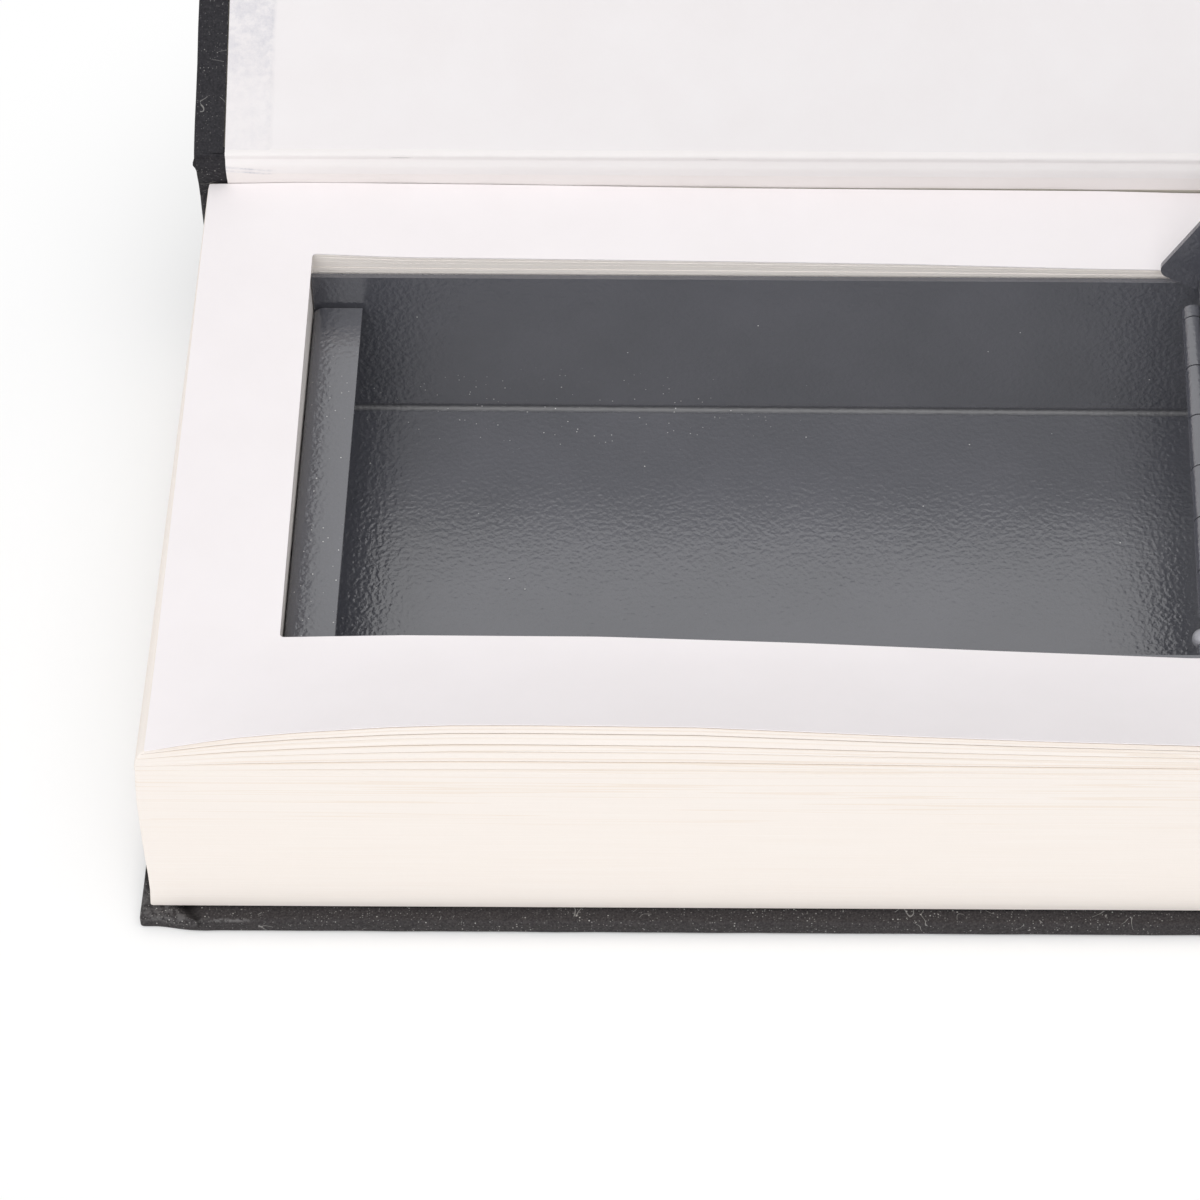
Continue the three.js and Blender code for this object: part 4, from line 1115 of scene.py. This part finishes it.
paste_xs = [PASTE_X[0] + d for d in NEAR_RIM] + list(np.linspace(PASTE_X[0] + 20, PASTE_X[1] - 20, 24))
paste_xs += [PASTE_X[1] - d for d in reversed(NEAR_RIM)]
paste_ys = [PASTE_Y[0] + d for d in NEAR_RIM] + list(np.linspace(PASTE_Y[0] + 20, PASTE_Y[1], 20))
paste_mesh = relief_sheet("front_pastedown_paper", paste_xs, paste_ys, paste_height, PASTE_THICK)
noted_by(paste_mesh, "glued", stained)
paste_mesh.transform(COVER_PLACE)
front_paste = shown("front_pastedown_paper", paste_mesh, "endpaper", smooth=40)
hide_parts("front_pastedown")
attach(front_paste, "front_cover")

# %% [markdown]
# ### Spine
#
# The spine is a narrow board wrapped the same way, standing on edge, so the same shell serves once it is
# turned. Between it and the back board the cloth dips into a groove. A strip with a curved profile, run
# from end to end, makes the groove; its ends tuck in under the spine's and the cover's cloth.

# %% Spine shell
SPINE_Z, SPINE_THICK, SPINE_ROUND, SPINE_WORN = (0.25, 51.2), 2.4, 0.35, 0.3
TURNED_UP = Matrix(((1, 0, 0, 0), (0, 0, -1, CASE_Y[1] * MM), (0, 1, 0, 0), (0, 0, 0, 1)))
spine_mesh = wrapped_board("spine_cloth", COVER_X, SPINE_Z, SPINE_THICK, 0.0)
noted_by(spine_mesh, "worn", lambda p: SPINE_WORN)
spine_mesh.transform(TURNED_UP)
for vertex in spine_mesh.vertices:
    middle = math.sin(math.pi * min(max(vertex.co.z / MM / SPINE_Z[1], 0), 1))
    on_outside = vertex.co.y > (CASE_Y[1] - SPINE_THICK / 2) * MM
    vertex.co.y -= SPINE_ROUND * MM * (1 - middle) * on_outside
spine = shown("spine_cloth", spine_mesh, "cover_cloth", smooth=50)
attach(spine, "book")


# %% Strips that follow a curve in the YZ plane
def smooth_line(points, count):
    """A curve through the points, with this many steps from each to the next."""
    line = []
    ends = [points[0], *points, points[-1]]
    for index in range(1, len(ends) - 2):
        p0, p1, p2, p3 = (np.array(ends[index + k], float) for k in (-1, 0, 1, 2))
        for step in range(count):
            t = step / count
            line.append(0.5 * (2 * p1 + (p2 - p0) * t + (2 * p0 - 5 * p1 + 4 * p2 - p3) * t ** 2
                               + (3 * p1 - p0 - 3 * p2 + p3) * t ** 3))
    line.append(np.array(points[-1], float))
    return line


def strip(name, points, x, thickness, stations=60, count=6, wander=0.0):
    line = smooth_line(points, count)
    loops = []
    for station in range(stations + 1):
        share = station / stations
        across = x[0] + (x[1] - x[0]) * share
        upper, lower = [], []
        for index, spot in enumerate(line):
            after, before = line[min(index + 1, len(line) - 1)], line[max(index - 1, 0)]
            along_line = (after - before) / np.linalg.norm(after - before)
            side = np.array([-along_line[1], along_line[0]]) * thickness / 2
            part = math.sin(math.pi * index / (len(line) - 1))
            shift = wander * part * (math.sin(across * 0.11) + 0.6 * math.sin(across * 0.29 + 1))
            place = spot + side / (thickness / 2) * shift
            upper.append((across, *(place + side)))
            lower.append((across, *(place - side)))
        loops.append(upper + lower[::-1])
    return skin(name, loops)


GROOVE = [(67.6, 0.55), (68.6, 0.7), (69.6, 1.45), (71.6, 1.75), (73.8, 1.6), (75.6, 0.9), (76.8, 0.5)]
groove_mesh = strip("back_groove_cloth", GROOVE, (CASE_X[0] + 0.4, CASE_X[1] - 0.4), 0.55, wander=0.05)
groove = shown("back_groove_cloth", groove_mesh, "cover_cloth", smooth=60)
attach(groove, "book")
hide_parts("case_cloth")

# %% [markdown]
# ### The joint
#
# The front cover hangs on a strip of cloth that creases twice: at the spine and at the board. Inside, the
# endpaper crosses the same strip and forms the gutter. Each crease is one joint of the frame. The cloth and
# the paper are each made in two halves that meet midway.

# %% Cloth and paper over the two creases
CREASE_CLOTH, CREASE_THIN, CREASE_BUMP = 0.45, 0.22, 0.5
BUMP_REACH, BUMP_LENGTH, JOINT_WORN = 1.1, 1.5, 0.2


def joint_side(y, z, place=JOINT_PLACE):
    """Where a point of the shut joint lies at rest."""
    spot = place @ (Vector((0, y, z)) * MM)
    return spot.y / MM, spot.z / MM


def cover_side(y, z):
    return joint_side(y, z, COVER_PLACE)


MIDDLE_Y = (SPINE_CREASE.y + BOARD_CREASE.y) / 2
CLOTH_MIDDLE = joint_side(MIDDLE_Y, 51.1)
cloth_low = [(77.5, 48.8), (77.3, 50.2), joint_side(75.6, 51.6), joint_side(73.8, 51.25), CLOTH_MIDDLE]
cloth_high = [CLOTH_MIDDLE, joint_side(70.6, 51.2), joint_side(69.2, 51.7), cover_side(67.9, 52.4),
              cover_side(66.6, 53.3)]
MEETING = (73.0, 53.9)
paper_low = [(74.2, 46.0), (74.05, 48.4), (73.8, 50.0), (73.3, 52.1), MEETING]
paper_high = [MEETING, (73.1, 55.6), (73.7, 57.2), cover_side(68.0, 50.30), cover_side(66.4, 50.68)]
TURN_IN_X = (COVER_X[0] + 0.3, COVER_X[1] - 0.3)
SPINE_END, COVER_END = (Vector((0, *spot)) * MM for spot in ((76.2, 50.0), cover_side(67.4, 51.5)))
BUMP_AT = Vector((0, *joint_side(71.3, 51.2)))
SCUFF_Z, SCUFF_SLOPE, SCUFF_LENGTH = 54.9, 0.09, 9.5


def scuffed_at(p):
    """Tells where something dark has rubbed two short lines on the gutter."""
    from_end = p.x - PASTE_X[0]
    level = p.z - SCUFF_Z + SCUFF_SLOPE * from_end
    on_line = 0.35 < level < 0.80 or -0.60 < level < -0.20
    return 0.9 * on_line * (from_end < SCUFF_LENGTH)


def joint_piece(name, points, x, thickness, slot, low_half, node=None, bump=0.0):
    mesh = strip(name, points, x, thickness, stations=150, count=10, wander=0.04)
    for vertex in mesh.vertices:
        spot = vertex.co / MM
        near = hill(math.hypot(spot.y - BUMP_AT.y, spot.z - BUMP_AT.z), 0, BUMP_REACH)
        vertex.co.x -= bump * (near * hill(spot.x, x[0], BUMP_LENGTH)) * MM
    made = shown(name, mesh, slot, smooth=60)
    if slot == "endpaper":
        noted_by(mesh, "glued", scuffed_at)
        # The gutter and the joint take brighter copies of the endpaper: painted light.
        mesh.materials[0] = LIT_GUTTER_PAPER if low_half else LIT_JOINT_PAPER
    else:
        noted_by(mesh, "worn", lambda p: JOINT_WORN)
    if node:
        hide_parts(node)
    if low_half:
        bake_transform(made)
    else:
        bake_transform(made)


joint_piece("spine_crease_cloth", cloth_low, COVER_X, CREASE_CLOTH, "cover_cloth", True, bump=CREASE_BUMP)
joint_piece("board_crease_cloth", cloth_high, COVER_X, CREASE_CLOTH, "cover_cloth", False,
            "front_joint_cloth", bump=CREASE_BUMP)
turn_in_low = [(y + 0.3, z) for y, z in paper_low]
turn_in_high = [turn_in_low[-1], (73.45, 55.5), (74.05, 56.9), cover_side(68.0, 50.65),
                cover_side(66.4, 51.0)]
joint_piece("spine_crease_turn_in", turn_in_low, TURN_IN_X, CREASE_THIN, "cover_cloth", True)
joint_piece("board_crease_turn_in", turn_in_high, TURN_IN_X, CREASE_THIN, "cover_cloth", False)
joint_piece("gutter_endpaper", paper_low, PASTE_X, CREASE_THIN, "endpaper", True)
joint_piece("joint_endpaper", paper_high, PASTE_X, CREASE_THIN, "endpaper", False, "front_joint_endpaper")

# %% [markdown]
# ## Sheet metal
#
# The tray, the lid, the hinge leaves and the lock's pieces have their true shape in the frame, but with
# knife edges. Paint rounds an edge, and a rounded edge is what catches the light. Each node's mesh is
# copied, its triangles are merged into flat faces, and a Bevel modifier rounds every edge sharper than
# thirty-five degrees, by so many millimetres. Hardened normals keep the flat faces flat, or they would
# shade as if they were creased. Where the hinge's knuckles rub on each other, the paint has gone from their
# rims.

# %% Softened copies of sharp nodes
HINGE_AXIS, KNUCKLE_REACH = Vector((86.3, 0, 45.7)), 2.6
SAME_SPOT, SAME_PLANE, SHARP = 2e-6, math.radians(0.6), math.radians(35)
BARE_EDGES = {"hinge_tray_leaf": 0.22, "hinge_lid_leaf": 0.22}
SOFT_EDGES = {"tray": 0.28, "lid_pan": 0.28, "lock_case": 0.25, "lock_faceplate": 0.2, "lock_bolt": 0.15,
              "slide_button": 0.25, "dial_1": 0.12, "dial_2": 0.12, "dial_3": 0.12}


def softened(node, width, bare=False):
    mesh = NODES[node].data.copy()
    mesh.name = node + "_softened"
    shape = bmesh.new()
    shape.from_mesh(mesh)
    bmesh.ops.remove_doubles(shape, verts=shape.verts, dist=SAME_SPOT)
    bmesh.ops.dissolve_limit(shape, angle_limit=SAME_PLANE, verts=shape.verts, edges=shape.edges)
    shape.to_mesh(mesh)
    shape.free()
    if "custom_normal" in mesh.attributes:
        mesh.attributes.remove(mesh.attributes["custom_normal"])
    mesh.shade_smooth()
    mesh.set_sharp_from_angle(angle=SHARP)
    made = placed(node + "_softened", mesh)
    bevel = made.modifiers.new("edges", "BEVEL")
    bevel.width, bevel.segments = width * MM, 2
    bevel.limit_method, bevel.angle_limit = "ANGLE", SHARP
    bevel.harden_normals = True
    if bare:
        mesh.materials.append(FINISH["plated_steel"])
        bevel.material = 1
    done = evaluated(made)
    made.modifiers.clear()
    made.data = done
    for face in done.polygons if bare else ():
        spot = face.center / MM
        if math.hypot(spot.x - HINGE_AXIS.x, spot.z - HINGE_AXIS.z) > KNUCKLE_REACH:
            face.material_index = 0
    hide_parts(node)
    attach(made, BODY[node])
    print(f"{made.name}: {len(done.polygons)} faces")


for node, width in BARE_EDGES.items():
    softened(node, width, bare=True)
for node, width in SOFT_EDGES.items():
    softened(node, width)

# %% [markdown]
# The stud beside the hinge has a round plated end on a thinner, painted neck. Both are turned shapes: a
# profile of radii and places along the axis, spun round it.

# %% The stud
STUD_PLACE = Vector((84.8, -39.6, 43.3))
STUD_RADIUS, NECK_RADIUS, NECK_START, NECK_END, AT_POLE = 2.0, 0.95, -46.0, -1.2, 0.06


def turned(name, profile, slot, around=24):
    angles = [2 * math.pi * i / around for i in range(around)]
    loops = []
    for radius, level in profile:
        circle = [Vector((radius * math.cos(a), level, radius * math.sin(a))) for a in angles]
        loops.append([STUD_PLACE + spot for spot in circle])
    made = shown(name, skin(name, loops), slot, smooth=50)
    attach(made, BODY["tray_stud"])
    return made


angles = np.linspace(AT_POLE, math.pi - AT_POLE, 14)
ball = [(STUD_RADIUS * math.sin(a), -STUD_RADIUS * math.cos(a)) for a in angles]
stud_end = turned("stud_end", ball, SLOT["tray_stud"])
stud_end.data.materials[0] = dull_nickel()
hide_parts("tray_stud")
turned("stud_neck", [(NECK_RADIUS, NECK_START - STUD_PLACE.y), (NECK_RADIUS, NECK_END)], "painted_steel")

# %% [markdown]
# ## Numbers on the dials
#
# Each dial has ten flats between its ridges, and each flat carries a number. A text curve is made a mesh
# first. Only then is it laid on the topmost flat of the shut lid's lock, turned round the dial's axis by a
# tenth of a turn for each number, and swung open with the lid.

# %% Numbers
DIAL_AXIS, DIAL_FLAT, DIAL_PLACES = Vector((-67, 0, 43.2)), 5.56, (-2.9, 3.5, 9.9)
LID_OPEN, DIAL_STEP = math.radians(120), math.radians(36)
LID_PLACE = swing(HINGE_AXIS, "Y", LID_OPEN)
NUMBER_SIZE, NUMBER_RELIEF = 2.3, 0.03
FACING = Matrix(((0, 1, 0, 0), (-1, 0, 0, 0), (0, 0, 1, 0), (0, 0, 0, 1)))
ink = white_ink()


def number_mesh(digit):
    text = bpy.data.curves.new("number", "FONT")
    text.body = str(digit)
    text.size = NUMBER_SIZE * MM
    text.extrude = NUMBER_RELIEF * MM
    text.align_x, text.align_y = "CENTER", "CENTER"
    holder = placed("number", text)
    mesh = evaluated(holder)
    bpy.data.objects.remove(holder)
    return mesh


def dial_numbers(index):
    shape = bmesh.new()
    place = Matrix.Translation((DIAL_AXIS + Vector((0, DIAL_PLACES[index], 0))) * MM)
    for digit in range(10):
        mesh = number_mesh(digit)
        turn = Matrix.Rotation(DIAL_STEP * digit, 4, "Y")
        mesh.transform(LID_PLACE @ place @ turn @ Matrix.Translation((0, 0, DIAL_FLAT * MM)) @ FACING)
        shape.from_mesh(mesh)
    bmesh.ops.remove_doubles(shape, verts=shape.verts, dist=1e-7)
    joined = bpy.data.meshes.new(f"dial_{index + 1}_numbers")
    shape.to_mesh(joined)
    shape.free()
    made = shown(joined.name, joined, "dial_plastic")
    joined.materials[0] = ink
    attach(made, BODY[f"dial_{index + 1}"])


for index in range(3):
    dial_numbers(index)
